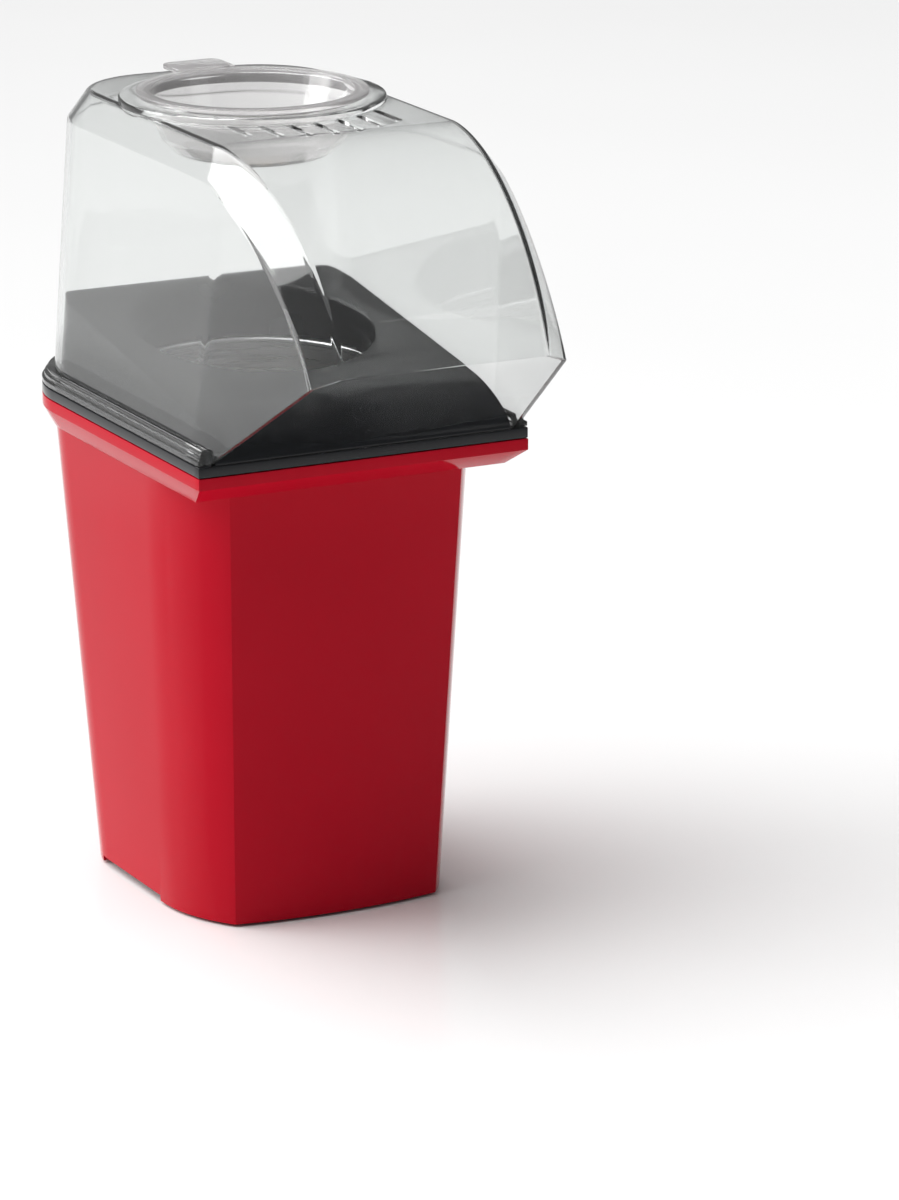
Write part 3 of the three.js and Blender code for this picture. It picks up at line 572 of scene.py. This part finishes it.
def housing_shell():
    """One wall that goes up the outside, over the flared rim and down the inside."""
    bands = 6
    heights = [FOOT + (FLARE_Z - FOOT) * i / bands for i in range(bands + 1)]
    rings = [
        *[body_ring(height) for height in heights],
        collar_ring(FLARE_Z, HALF - 4, FRONT + 12, BACK - 5, COLLAR_RADIUS - 4),
        collar_ring(RIM_Z - 4.4, HALF, FRONT, BACK, COLLAR_RADIUS),
        collar_ring(RIM_Z, HALF, FRONT, BACK, COLLAR_RADIUS),
        collar_ring(RIM_Z, HALF - 4, FRONT + 4, BACK - 4, COLLAR_RADIUS - 4),
        collar_ring(FLARE_Z + 1.5, HALF - 7, FRONT + 17, BACK - 8, COLLAR_RADIUS - 7),
        *[body_ring(height, WALL) for height in reversed(heights)],
    ]
    shell = bevel(loft("housing_shell", rings, wrap=True), 0.9, 4, 26)
    combine(shell, housing_posts(), "UNION")
    relief_top = FOOT + 2.3
    reliefs = [
        box_piece("side_relief", (-80, 9.5, -1), (80, 66, relief_top)),
        box_piece("back_relief", (-26, 70, -1), (26, 130, relief_top)),
    ]
    switch_outline = fillet([(-6.7, -10.2), (6.7, -10.2), (6.7, 10.2), (-6.7, 10.2)], 1, 4)
    switch_hole = across("switch_hole", switch_outline, -8, 8)
    gland_hole = across("gland_hole", ring_of(0, 0, GLAND_RADIUS, 48), -8, 8)
    holes = [on_back_wall(switch_hole, SWITCH_Z), on_back_wall(gland_hole, GLAND_Z)]
    return combine(shell, gather(reliefs + holes), "DIFFERENCE")


finish_piece(shade(housing_shell()), "base", looks["red_plastic"], "red_plastic", "housing")

# ---------- Deck ----------
DECK_FRONT = FRONT + 0.7
DECK_BROW = FRONT + 30
DECK_BACK = 117.5
DECK_SLOPE = 0.16
DECK_DROP = 11.3
DECK_ROLL = {"long": 26, "deep": 22}
DECK_HALF = 62.8
DECK_CORNER = 39
DECK_POST = {"radius": 4, "high": 199, "wall": 61.5, "rib_low": 190.6, "rib_high": 202}
BROW_RISE = 21
BROW_EXPONENT = 1.8
PROFILE_STEPS = 28
OPENING_RADIUS = CHAMBER_RADIUS + 1
THROAT = {"inner": 44, "outer": 49.4, "foot": 206.6}
OVER_DECK = 240
DRAFT = 0.067
DUCT_FLANGE = CHAMBER_RIM - 1.3
DUCT_SCREW_REACH = 59
DUCT_SCREWS = [
    (DUCT_SCREW_REACH * math.cos(a), AXIS_Y + DUCT_SCREW_REACH * math.sin(a))
    for a in map(math.radians, (30, 150, 270))
]


def super_arc(share, exponent):
    """A quarter of a superellipse: 1 at share 0, falling to 0 at share 1."""
    return (1 - min(1, share) ** exponent) ** (1 / exponent)


def deck_height(y):
    """The height of the deck's long slope."""
    return RIM_Z + BROW_RISE + DECK_SLOPE * (y - DECK_BROW)


def deck_profile(inset, bottom):
    """The deck's side outline as (y, z): a rounded brow, a long slope and a rolled back edge."""
    front = DECK_FRONT + inset
    back = DECK_BACK - inset
    roll, drop = DECK_ROLL["long"], DECK_ROLL["deep"]
    quarter = [i / PROFILE_STEPS * math.pi / 2 for i in range(PROFILE_STEPS + 1)]
    outline = [(front, bottom)]
    for angle in quarter:
        share = math.cos(angle)
        y = DECK_BROW - (DECK_BROW - front) * share
        fall = DECK_DROP * (1 - super_arc(share, BROW_EXPONENT))
        outline.append((y, deck_height(y) - inset - fall))
    top = deck_height(back - roll) - inset
    for angle in quarter:
        outline.append((back - roll * (1 - math.sin(angle)), top - drop * (1 - math.cos(angle))))
    return outline + [(back, bottom)]


def plan_tower(name, inset, bottom, top):
    """The space inside the cover's leaning walls, drawn in by an inset."""
    rings = []
    for height in (bottom, top):
        half = DECK_HALF - inset - DRAFT * (height - COLLAR_Z)
        back, radius = DECK_BACK - inset, DECK_CORNER - inset
        rings.append(collar_ring(height, half, FRONT - 1, back, radius))
    return loft(name, rings)


def deck_block(name, inset, bottom):
    """The deck as a solid block, drawn in by an inset."""
    outline = deck_profile(inset, bottom)
    rings = [[(x, y, z) for y, z in outline] for x in (-HALF, HALF)]
    plan = plan_tower("plan", inset, bottom - 1, OVER_DECK)
    return combine(loft(name, rings), plan, "INTERSECT")


def deck_posts():
    """The posts that take the screws from the housing's lugs and from the duct's flange."""
    posts = []
    for x, y in DECK_SCREWS:
        post = prism("post", ring_of(x, y, DECK_POST["radius"]), LUG["high"] + GAP, DECK_POST["high"])
        rib = rib_to_wall(x, y, DECK_POST["wall"], DECK_POST["rib_low"], DECK_POST["rib_high"])
        posts.append(combine(post, rib, "UNION"))
    for x, y in DUCT_SCREWS:
        posts.append(prism("post", ring_of(x, y, 3.6), DUCT_FLANGE + GAP, deck_height(y) - 1.2))
    return gather(posts)


def top_deck():
    """A hollow deck on a band that covers the rim, with a throat over the chamber."""
    deck = bevel(deck_block("top_deck_shell", 0, RIM_Z + GAP), 2.2, 5, 40)
    band_heights = (RIM_Z + GAP, COLLAR_Z)
    band = loft("band", [collar_ring(z, HALF, FRONT, BACK, COLLAR_RADIUS) for z in band_heights])
    combine(deck, bevel(band, 0.5, 3, 40), "UNION")
    combine(deck, deck_block("hollow", WALL, RIM_Z - 2), "DIFFERENCE")
    inner, outer, foot = THROAT["inner"], THROAT["outer"], THROAT["foot"]
    throat = turned("throat", [(inner, foot), (outer, foot), (outer, OVER_DECK), (inner, OVER_DECK)])
    combine(throat, deck_block("trim", 0.6, RIM_Z), "INTERSECT")
    combine(deck, throat, "UNION")
    opening = prism("opening", ring_of(0, AXIS_Y, OPENING_RADIUS, 120), 180, OVER_DECK + 10)
    combine(deck, opening, "DIFFERENCE")
    combine(deck, deck_posts(), "UNION")
    holes = drills(DECK_SCREWS, LUG["low"], LUG["high"] + 15)
    holes += drills(DUCT_SCREWS, 180, DUCT_FLANGE + 5)
    combine(deck, gather(holes), "DIFFERENCE")
    return shade(bevel_rim(deck, OPENING_RADIUS, 1.4), 34)


def bevel_rim(thing, radius, width):
    """Rounds the sharp edge where an upright bore comes out of the top."""
    above, slack = CHAMBER_RIM + 1.5, 0.05
    work = bmesh.new()
    work.from_mesh(thing.data)
    rim = []
    for edge in work.edges:
        ends = [v.co / MM for v in edge.verts]
        off_bore = max(abs(math.hypot(v.x, v.y - AXIS_Y) - radius) for v in ends)
        on_rim = off_bore < slack and min(v.z for v in ends) > above
        if on_rim and edge.calc_face_angle(0) > math.radians(40):
            rim.append(edge)
    bmesh.ops.bevel(work, geom=rim, offset=width * MM, segments=5, profile=0.5, affect="EDGES")
    work.to_mesh(thing.data)
    work.free()
    return thing


finish_piece(top_deck(), "base", looks["black_plastic"], "black_plastic", "top_deck")


# ---------- Popping chamber ----------
LOUVRE = {"count": 20, "lean": 28, "reach": 5, "half_width": 1, "above_foot": 24}


def chamber_can():
    """A spun can with a raised middle and slanted slots round its foot."""
    low = CHAMBER_RIM - 80
    inner, outer, flange = CHAMBER_RADIUS, CHAMBER_RADIUS + 0.9, CHAMBER_RADIUS + 5
    inside = [(0.01, low + 5), (16, low + 4), (30, low + 1), (38, low + 1), (43.5, low + 5)]
    wall = [(inner, low + 14), (inner, CHAMBER_RIM), (flange, CHAMBER_RIM)]
    wall += [(flange, CHAMBER_RIM - 1), (outer, CHAMBER_RIM - 1), (outer, low + 14)]
    outside = [(44.2, low + 4.4), (38.4, low), (30, low), (16, low + 3), (0.01, low + 4)]
    radii = [0, 12, 6, 4, 5, 6, 1.2, 0.4, 0.4, 0.4, 6, 5, 5, 6, 12, 0]
    can = turned("chamber_can", fillet(inside + wall + outside, radii, 5), 128)
    lean = math.radians(LOUVRE["lean"])
    reach, half_width = LOUVRE["reach"], LOUVRE["half_width"]
    outline = arc(0, reach, half_width, 0, 180, 8) + arc(0, -reach, half_width, 180, 360, 8)
    slots = []
    for i in range(LOUVRE["count"]):
        turn = 2 * math.pi * i / LOUVRE["count"]
        rings = []
        for radius in (inner - 4, inner + 4):
            ring = []
            for along, up in outline:
                side = along * math.cos(lean) - up * math.sin(lean)
                height = along * math.sin(lean) + up * math.cos(lean) + low + LOUVRE["above_foot"]
                x = radius * math.cos(turn) - side * math.sin(turn)
                y = AXIS_Y + radius * math.sin(turn) + side * math.cos(turn)
                ring.append((x, y, height))
            rings.append(ring)
        slots.append(loft("slot", rings))
    return shade(combine(can, gather(slots), "DIFFERENCE"), 36)


finish_piece(chamber_can(), "base", looks["aluminium"], "aluminium", "popping_chamber")


# ---------- Base plate and feet ----------
VENT = {"half_width": 2, "half": 9, "pitch": 8.5, "row": 14.5}
BOSS = {"radius": 5, "high": 7.7, "recess_radius": 4.2, "recess_deep": 2.4}


def base_plate():
    """A flat plate with two rows of air slots, and a recessed boss round each screw."""
    low, high = 2.7, 5.3
    outline = [(x, y) for x, y, _ in body_ring(low, WALL + 0.5)]
    plate = bevel(prism("base_cover", outline, low, high), 0.5, 3, 40)
    radius, top = BOSS["radius"], BOSS["high"]
    bosses = [prism("boss", ring_of(x, y, radius), high - 1, top) for x, y in BASE_SCREWS]
    combine(plate, gather(bosses), "UNION")
    cuts = drills(BASE_SCREWS, 0, 12)
    for column in range(-3, 4):
        for row in (-1, 1):
            x, y = column * VENT["pitch"], AXIS_Y + row * VENT["row"]
            far_end = arc(x, y + VENT["half"], VENT["half_width"], 0, 180, 10)
            near_end = arc(x, y - VENT["half"], VENT["half_width"], 180, 360, 10)
            cuts.append(prism("vent", far_end + near_end, 0, 8))
    combine(plate, gather(cuts), "DIFFERENCE")
    recesses = drills(BASE_SCREWS, 0, low + BOSS["recess_deep"], BOSS["recess_radius"])
    return shade(combine(plate, gather(recesses), "DIFFERENCE"), 36)


finish_piece(base_plate(), "base", looks["dark_plastic"], "dark_plastic", "base_plate")

FEET = [(40, -14), (-40, -14), (38, 79), (-38, 79)]
for number, place in enumerate(FEET, 1):
    sole = [(0.01, 0.5), (3, 0.5), (3.4, 0), (6, 0), (7, 1), (7, 2.4), (0.01, 2.4)]
    foot = turned(f"foot_pad_{number}", fillet(sole, [0, 0.3, 0.3, 0.6, 0.6, 0.2, 0], 4), 64, place)
    finish_piece(shade(foot, 40), "base", looks["rubber"], "rubber", f"foot_{number}")


# ---------- Switch and gland on the back ----------
def rounded_box(width, height, radius):
    """An outline of (x, z) round the origin."""
    w, h = width / 2, height / 2
    return fillet([(-w, -h), (w, -h), (w, h), (-w, h)], radius, 6)


PIVOT_DEPTH = -3.4
ROCKER_LEAN = 10
ROCKER_TILT = -8


def pivot_bar(name, radius, half):
    """A bar along the rocker's axis."""
    outline = [(PIVOT_DEPTH + y, z) for y, z in ring_of(0, 0, radius, 24)]
    return loft(name, [[(x, y, z) for y, z in outline] for x in (-half, half)])


def switch_frame():
    """A flange on the wall, an open body behind it, holes for the rocker's pins and three blades."""
    flange = bevel(across("switch_frame", rounded_box(16, 23, 2), GAP, 2), 0.6, 4, 40)
    combine(flange, across("body", rounded_box(12.8, 19.8, 0.8), -13, 1), "UNION")
    combine(flange, across("pocket", rounded_box(9.8, 16.6, 0.7), -11.5, 3), "DIFFERENCE")
    combine(flange, pivot_bar("pivots", 1.4, 6), "DIFFERENCE")
    blades = [box_piece("blade", (-2.5, -20, z - 0.5), (2.5, -12.4, z + 0.5)) for z in (-5, 0, 5)]
    return shade(combine(flange, gather(blades), "UNION"), 36)


def rocker_key():
    """The rocker at rest: its faces meet in a shallow dip, and its lower half is pressed in."""
    lean = math.radians(ROCKER_LEAN)
    half, dip = 7.4, 0.6
    tip_x, tip_out = half * math.cos(lean), dip + half * math.sin(lean)
    heel = half * 0.96
    outline = [(0, dip), (tip_x, tip_out), (heel, -3.2), (3, -7)]
    outline += [(-3, -7), (-heel, -3.2), (-tip_x, tip_out)]
    soft = fillet(outline, [16, 0.9, 2, 1.5, 1.5, 2, 0.9], 8)
    key = loft("rocker_key", [[(x, out, along) for along, out in soft] for x in (-4.5, 4.5)])
    combine(bevel(key, 0.5, 4, 60), pivot_bar("pins", 1.1, 5.8), "UNION")
    pivot = Matrix.Translation((0, PIVOT_DEPTH * MM, 0))
    tilt = Matrix.Rotation(math.radians(ROCKER_TILT), 4, "X")
    key.data.transform(pivot @ tilt @ pivot.inverted())
    return shade(key, 36)


def gland_bush():
    """A soft bush through the wall, with a flange outside it."""
    hole, neck, flange = 3.7, GLAND_RADIUS - GAP, 9.5
    section = [(hole, -6), (neck, -6), (neck, GAP), (flange, GAP)]
    section += [(flange, 2.6), (neck, 2.6), (neck, 4), (hole, 4)]
    soft = fillet(section, [0.6, 0.4, 0, 0.3, 0.9, 0.8, 0.6, 0.8], 4)
    bush = turned("gland_bush", soft, 64, (0, 0))
    bush.data.transform(Matrix.Rotation(math.radians(-90), 4, "X"))
    return shade(bush, 40)


bezel = on_back_wall(switch_frame(), SWITCH_Z)
finish_piece(bezel, "base", looks["dark_plastic"], "dark_plastic", "switch_bezel")
rocker = on_back_wall(rocker_key(), SWITCH_Z)
finish_piece(rocker, "rocker", looks["rocker_plastic"], "dark_plastic", "switch_rocker")
gland = on_back_wall(gland_bush(), GLAND_Z)
finish_piece(gland, "base", looks["rubber"], "rubber", "cord_gland")

# ---------- Cover ----------
COVER_FOOT = COLLAR_Z + GAP
WALL_LEAN_FROM = 197.4
COVER_HALF = 65.5
HOOD_Y = FRONT + 25
NARROWING = 0.15
TOP_HALF = 51
MOUTH_Y = FRONT - 2.5
MOUTH_SLOPE = 0.657
CREASE_A = {"y": FRONT + 18, "z": 220, "long": 85, "high": 80.5, "exponent": 1.5}
CREASE_B = {"y": FRONT + 25, "z": 231.5, "long": 94, "high": 81, "exponent": 1.75}
HOOD_STEPS = 40
SIDE_STEPS = 10
REAR_ARC = 22
REAR_HALF = 6
TOP_BORDER = 14
TOP_LANES = 8
CUP_RING = {"inner": 43, "outer": 52.4, "hole": 47}
COVER_VENT = {"count": 7, "pitch": 10.6, "radius": 1.5, "long": 19}


def crease_z(crease, y):
    """The height of a crease, which falls away in front of its own starting line."""
    share = max(0, crease["y"] - y) / crease["long"]
    return crease["z"] + crease["high"] * super_arc(share, crease["exponent"])


def mouth_z(y):
    """The height of the mouth's flat, slanted cut."""
    return WALL_LEAN_FROM + (MOUTH_Y - y) * MOUTH_SLOPE


def crease_tip(crease):
    """Where a crease meets the flat cut of the mouth."""
    near, far = crease["y"] - crease["long"], crease["y"]
    for _ in range(40):
        middle = (near + far) / 2
        if crease_z(crease, middle) > mouth_z(middle):
            far = middle
        else:
            near = middle
    return far


def wall_x(y, z):
    """Half the width between the walls, which lean in upwards and towards the spout."""
    return COVER_HALF - DRAFT * (z - WALL_LEAN_FROM) - NARROWING * max(0, FRONT - y)


def half_path(place, tip, side_end, rear):
    """One side's points from the spout to the middle of the back."""
    path = []
    for i in range(HOOD_STEPS):
        y = tip + (HOOD_Y - tip) * (1 - math.cos(i / HOOD_STEPS * math.pi / 2))
        path.append(place(y))
    for i in range(SIDE_STEPS):
        path.append(place(HOOD_Y + (side_end - HOOD_Y) * i / SIDE_STEPS))
    half, back, radius = rear
    z = place(side_end)[2]
    path += [(x, y, z) for x, y in arc(half - radius, back - radius, radius, 0, 90, REAR_ARC)]
    path += [((half - radius) * (1 - i / REAR_HALF), back, z) for i in range(1, REAR_HALF)]
    return path


def whole_path(path):
    """Both sides: the middle of the back lies between them."""
    _, back, z = path[-1]
    return path + [(0, back, z)] + [(-x, y, z) for x, y, z in reversed(path)]


def cover_paths():
    """The foot of the wall, the two creases, and a line on the top inside the upper crease."""
    def foot(y):
        return (wall_x(y, COVER_FOOT), y, COVER_FOOT)

    def crease_a(y):
        z = crease_z(CREASE_A, y)
        return (wall_x(y, z), y, z)

    def crease_b(y):
        return (TOP_HALF - 0.086 * max(0, HOOD_Y - y), y, crease_z(CREASE_B, y))

    def top_line(y):
        x, _, z = crease_b(y)
        return (x - TOP_BORDER, y, z)

    foot_tip = MOUTH_Y + (WALL_LEAN_FROM - COVER_FOOT) / MOUTH_SLOPE
    foot_half = wall_x(0, COVER_FOOT)
    a_half = crease_a(0)[0]
    b_tip = crease_tip(CREASE_B)
    b_side, b_back, b_radius = FRONT + 135, FRONT + 167, 32
    foot_rear = (foot_half, FRONT + 180, 42)
    a_rear = (a_half, FRONT + 177, 40)
    b_rear = (TOP_HALF, b_back, b_radius)
    inner_rear = tuple(size - TOP_BORDER for size in b_rear)
    halves = [
        half_path(foot, foot_tip, FRONT + 138, foot_rear),
        half_path(crease_a, crease_tip(CREASE_A), FRONT + 137, a_rear),
        half_path(crease_b, b_tip, b_side, b_rear),
        half_path(top_line, b_tip, b_side, inner_rear),
    ]
    return [whole_path(half) for half in halves]


def mix(a, b, t):
    """The point a share of the way from one point to another."""
    return tuple(p + (q - p) * t for p, q in zip(a, b))


def rounded_corner(before, corner, after, reach, steps):
    """Points of a small curve in place of a corner in space."""
    here = Vector(corner)
    start = here + (Vector(before) - here).normalized() * reach
    end = here + (Vector(after) - here).normalized() * reach
    return soft_corner(start, here, end, steps)


def cover_skin():
    """The cover's outer surface as quads: walls, chamfer and a top ruled straight across."""
    foot, low, high, inner = cover_paths()
    count = len(foot)
    columns = []
    for f, a, b, c in zip(foot, low, high, inner):
        soft_a = rounded_corner(f, a, b, 1.3, 5)
        soft_b = rounded_corner(a, b, c, 1.9, 6)
        wall = [mix(f, soft_a[0], t) for t in (0, 0.25, 0.5, 0.75)]
        columns.append(wall + soft_a + [mix(soft_a[-1], soft_b[0], 0.5)] + soft_b + [c])
    rows = [list(row) for row in zip(*columns)]
    vertices = [point for row in rows for point in row]
    faces = []
    for r in range(len(rows) - 1):
        for i in range(count - 1):
            a = r * count + i
            faces.append((a, a + 1, a + count + 1, a + count))
    ring = (len(rows) - 1) * count
    base = len(vertices)

    def top_point(i, j):
        if j == 0:
            return ring + i
        if j == TOP_LANES:
            return ring + count - 1 - i
        return base + i * (TOP_LANES - 1) + j - 1

    for i in range(HOOD_STEPS + 1):
        left, right = inner[count - 1 - i], inner[i]
        vertices += [mix(right, left, j / TOP_LANES) for j in range(1, TOP_LANES)]
    for i in range(HOOD_STEPS):
        for j in range(TOP_LANES):
            corners = ((i, j), (i, j + 1), (i + 1, j + 1), (i + 1, j))
            faces.append(tuple(top_point(*corner) for corner in corners))
    flat = [ring + i for i in range(HOOD_STEPS, count - HOOD_STEPS)]
    flat += [top_point(HOOD_STEPS, j) for j in range(TOP_LANES - 1, 0, -1)]
    faces.append(tuple(flat))
    return make("cover_piece", vertices, faces)


def cover_flange():
    """The ribbed flange on the collar, from one front end round the back to the other."""
    section = [(0, 0), (0, 1.7), (0.35, 2.0), (0.9, 2.0)]
    section += [(1.05, 2.3), (1.05, 3.5), (1.4, 3.8), (2.0, 3.8)]
    section += [(2.2, 4.1), (2.2, 5.2), (2.6, 5.6), (6.2, 5.6), (6.2, 0)]
    centre_x, centre_y = HALF - COLLAR_RADIUS, BACK - COLLAR_RADIUS
    lines = []
    for inset, height in section:
        corner = arc(centre_x, centre_y, COLLAR_RADIUS - inset, 0, 90, REAR_ARC)
        x = HALF - inset
        end = FRONT + 0.6 + min(inset, 2.2)
        half = [(x, end), (x, FRONT + 20), (x, FRONT + 80)] + corner
        path = half + [(-x, y) for x, y in reversed(half)]
        lines.append([(x, y, COVER_FOOT + height) for x, y in path])
    stations = [list(points) for points in zip(*lines)]
    return bevel(loft("flange", stations), 0.35, 2, 50)


def cover():
    """The skin given its wall, with a ring for the cup, vent slots in front of it and the flange."""
    shell = outward(cover_skin(), 0.02)
    thick = shell.modifiers.new("thick", "SOLIDIFY")
    thick.thickness = CLEAR_WALL * MM
    thick.offset = -1
    thick.use_even_offset = True
    bevel(shell, 0.4, 3, 60)
    top = COVER_TOP
    hole = prism("hole", ring_of(0, AXIS_Y, CUP_RING["hole"], 120), top - 9, top + 6)
    combine(shell, hole, "DIFFERENCE")
    inner, outer = CUP_RING["inner"], CUP_RING["outer"]
    boss = [(inner, top - 2), (outer, top - 2), (outer, top + 2), (inner, top + 2)]
    combine(shell, turned("boss", fillet(boss, [0.3, 0, 0.9, 0.9]), 120), "UNION")
    radius = COVER_VENT["radius"]
    for i in range(COVER_VENT["count"]):
        x = (i - (COVER_VENT["count"] - 1) / 2) * COVER_VENT["pitch"]
        back = AXIS_Y - math.sqrt((outer + 1.4) ** 2 - x**2) - radius
        far_end = arc(x, back, radius, 0, 180, 8)
        near_end = arc(x, back - COVER_VENT["long"], radius, 180, 360, 8)
        combine(shell, prism("vent", far_end + near_end, top - 12, top + 2), "DIFFERENCE")
    combine(shell, cover_flange(), "UNION")
    return shade(shell, 30)


finish_piece(cover(), "cover", looks["clear_plastic"], "clear_plastic", "cover_shell")


# ---------- Heater coil ----------
COIL = {"radius": 40, "wire": 0.85, "pitch": 4.2, "turns": 4, "foot": 101.5}


def coil_wire():
    """One round wire wound in an even helix."""
    turn_steps = 72
    section = ring_of(0, 0, COIL["wire"], 12)
    rings = []
    for i in range(COIL["turns"] * turn_steps + 1):
        turn = 2 * math.pi * i / turn_steps
        height = COIL["foot"] + COIL["pitch"] * i / turn_steps
        ring = []
        for out, up in section:
            reach = COIL["radius"] + out
            ring.append((reach * math.cos(turn), AXIS_Y + reach * math.sin(turn), height + up))
        rings.append(ring)
    return shade(loft("coil_wire", rings), 40)


finish_piece(coil_wire(), "base", looks["nichrome"], "nichrome", "heater_coil")

# ---------- Rectifier board ----------
BOARD_TOP = 15.6
DIODE = {"radius": 1.6, "half": 4.5, "wire_half": 7, "wire": 0.4, "y": -14}


def board_plate():
    """The board on its four short legs."""
    plate = bevel(box_piece("board_plate", (-16, -24, 14), (16, -4, BOARD_TOP)), 0.25, 2, 40)
    legs = [prism("leg", ring_of(x, y, 2, 32), 5.6, 14.1) for x in (-13, 13) for y in (-21, -7)]
    return shade(combine(plate, gather(legs), "UNION"), 36)


def board_diodes():
    """Four round diodes, each held a little over the board by a bent wire at either end."""
    middle, half, wire = DIODE["y"], DIODE["half"], DIODE["wire"]
    front, back = middle - DIODE["wire_half"], middle + DIODE["wire_half"]
    centre_z = BOARD_TOP + 1.9
    diodes = []
    for x in (-10.5, -3.5, 3.5, 10.5):
        section = ring_of(x, centre_z, DIODE["radius"], 40)
        body = bevel(across("board_diodes", section, middle - half, middle + half), 0.35, 3, 60)
        low, high = (x - wire, front, centre_z - wire), (x + wire, back, centre_z + wire)
        combine(body, box_piece("wire", low, high), "UNION")
        for end in (front, back - 2 * wire):
            low, high = (x - wire, end, BOARD_TOP + 0.05), (x + wire, end + 2 * wire, centre_z)
            combine(body, box_piece("foot", low, high), "UNION")
        diodes.append(body)
    return shade(gather(diodes), 36)


finish_piece(board_plate(), "base", looks["circuit_board"], "circuit_board", "rectifier_board")
finish_piece(board_diodes(), "base", looks["rocker_plastic"], "dark_plastic")


# ---------- Measuring cup ----------
def measuring_cup():
    """A shallow bowl hanging by its rim in the cover's ring, with a tab over the back edge."""
    low = COVER_TOP + 2 + GAP
    top = low + 1.9
    floor = top - 25.5
    outside = [(0.01, floor), (29, floor), (35.2, floor + 6), (41.8, low), (45.6, low)]
    inside = [(45.6, top), (40, top), (33.4, floor + 7), (28.6, floor + 1.8), (0.01, floor + 1.8)]
    radii = [0, 5, 5, 1, 0.7, 0.7, 1.2, 4, 4, 0]
    cup = turned("cup_piece", fillet(outside + inside, radii, 5), 120)
    half, near, far = 12.5, AXIS_Y + 42.5, AXIS_Y + 60
    tab = [(-half, near), (half, near), (half, far), (-half, far)]
    lip = bevel(prism("tab", fillet(tab, [0, 0, 5, 5], 8), low + 0.9, low + 2.8), 0.6, 3, 50)
    return shade(combine(cup, lip, "UNION"), 40)


finish_piece(measuring_cup(), "cup", looks["cup_plastic"], "cup_plastic", "butter_cup")

# ---------- Stage ----------
FLOOR_HALF = 12000
SKY = {"energy": 4.1, "angle": 76, "turn": (-20, -27, 0)}
BACKDROP_STRENGTH = 0.24
AREA_LIGHTS = [
    {"name": "key", "place": (-1.9, 0.9, 0.7), "size": 1.2, "power": 13},
    {"name": "fill", "place": (1.6, -1.6, 1.4), "size": 1.0, "power": 2},
]


def stage_and_light():
    """A pale floor, an even backdrop, one wide soft sun and two area lights."""
    square = ((-1, -1), (1, -1), (1, 1), (-1, 1))
    corners = [(x * FLOOR_HALF, y * FLOOR_HALF, -0.2) for x, y in square]
    floor = make("floor", corners, [(0, 1, 2, 3)])
    paint = Surface("floor_paint", Roughness=0.16)
    paint.colours(paint.noise(2, 2), (0.3, (0.92, 0.92, 0.92)), (0.7, (0.94, 0.94, 0.94)))
    floor.data.materials.append(paint.material)
    world = bpy.data.worlds.new("studio")
    bpy.context.scene.world = world
    world.use_nodes = True
    backdrop = world.node_tree.nodes["Background"]
    backdrop.inputs["Color"].default_value = (1, 1, 1, 1)
    backdrop.inputs["Strength"].default_value = BACKDROP_STRENGTH
    sun = bpy.data.lights.new("sky", "SUN")
    sun.energy = SKY["energy"]
    sun.angle = math.radians(SKY["angle"])
    sky = bpy.data.objects.new("sky", sun)
    sky.rotation_euler = [math.radians(turn) for turn in SKY["turn"]]
    bpy.context.scene.collection.objects.link(sky)
    for item in AREA_LIGHTS:
        data = bpy.data.lights.new(item["name"], "AREA")
        data.energy = item["power"]
        data.size = item["size"]
        light = bpy.data.objects.new(item["name"], data)
        light.location = item["place"]
        aim = Vector((0, 0, 0.15)) - light.location
        light.rotation_euler = aim.to_track_quat("-Z", "Y").to_euler()
        bpy.context.scene.collection.objects.link(light)


stage_and_light()
bpy.context.scene.view_settings.view_transform = "Standard"
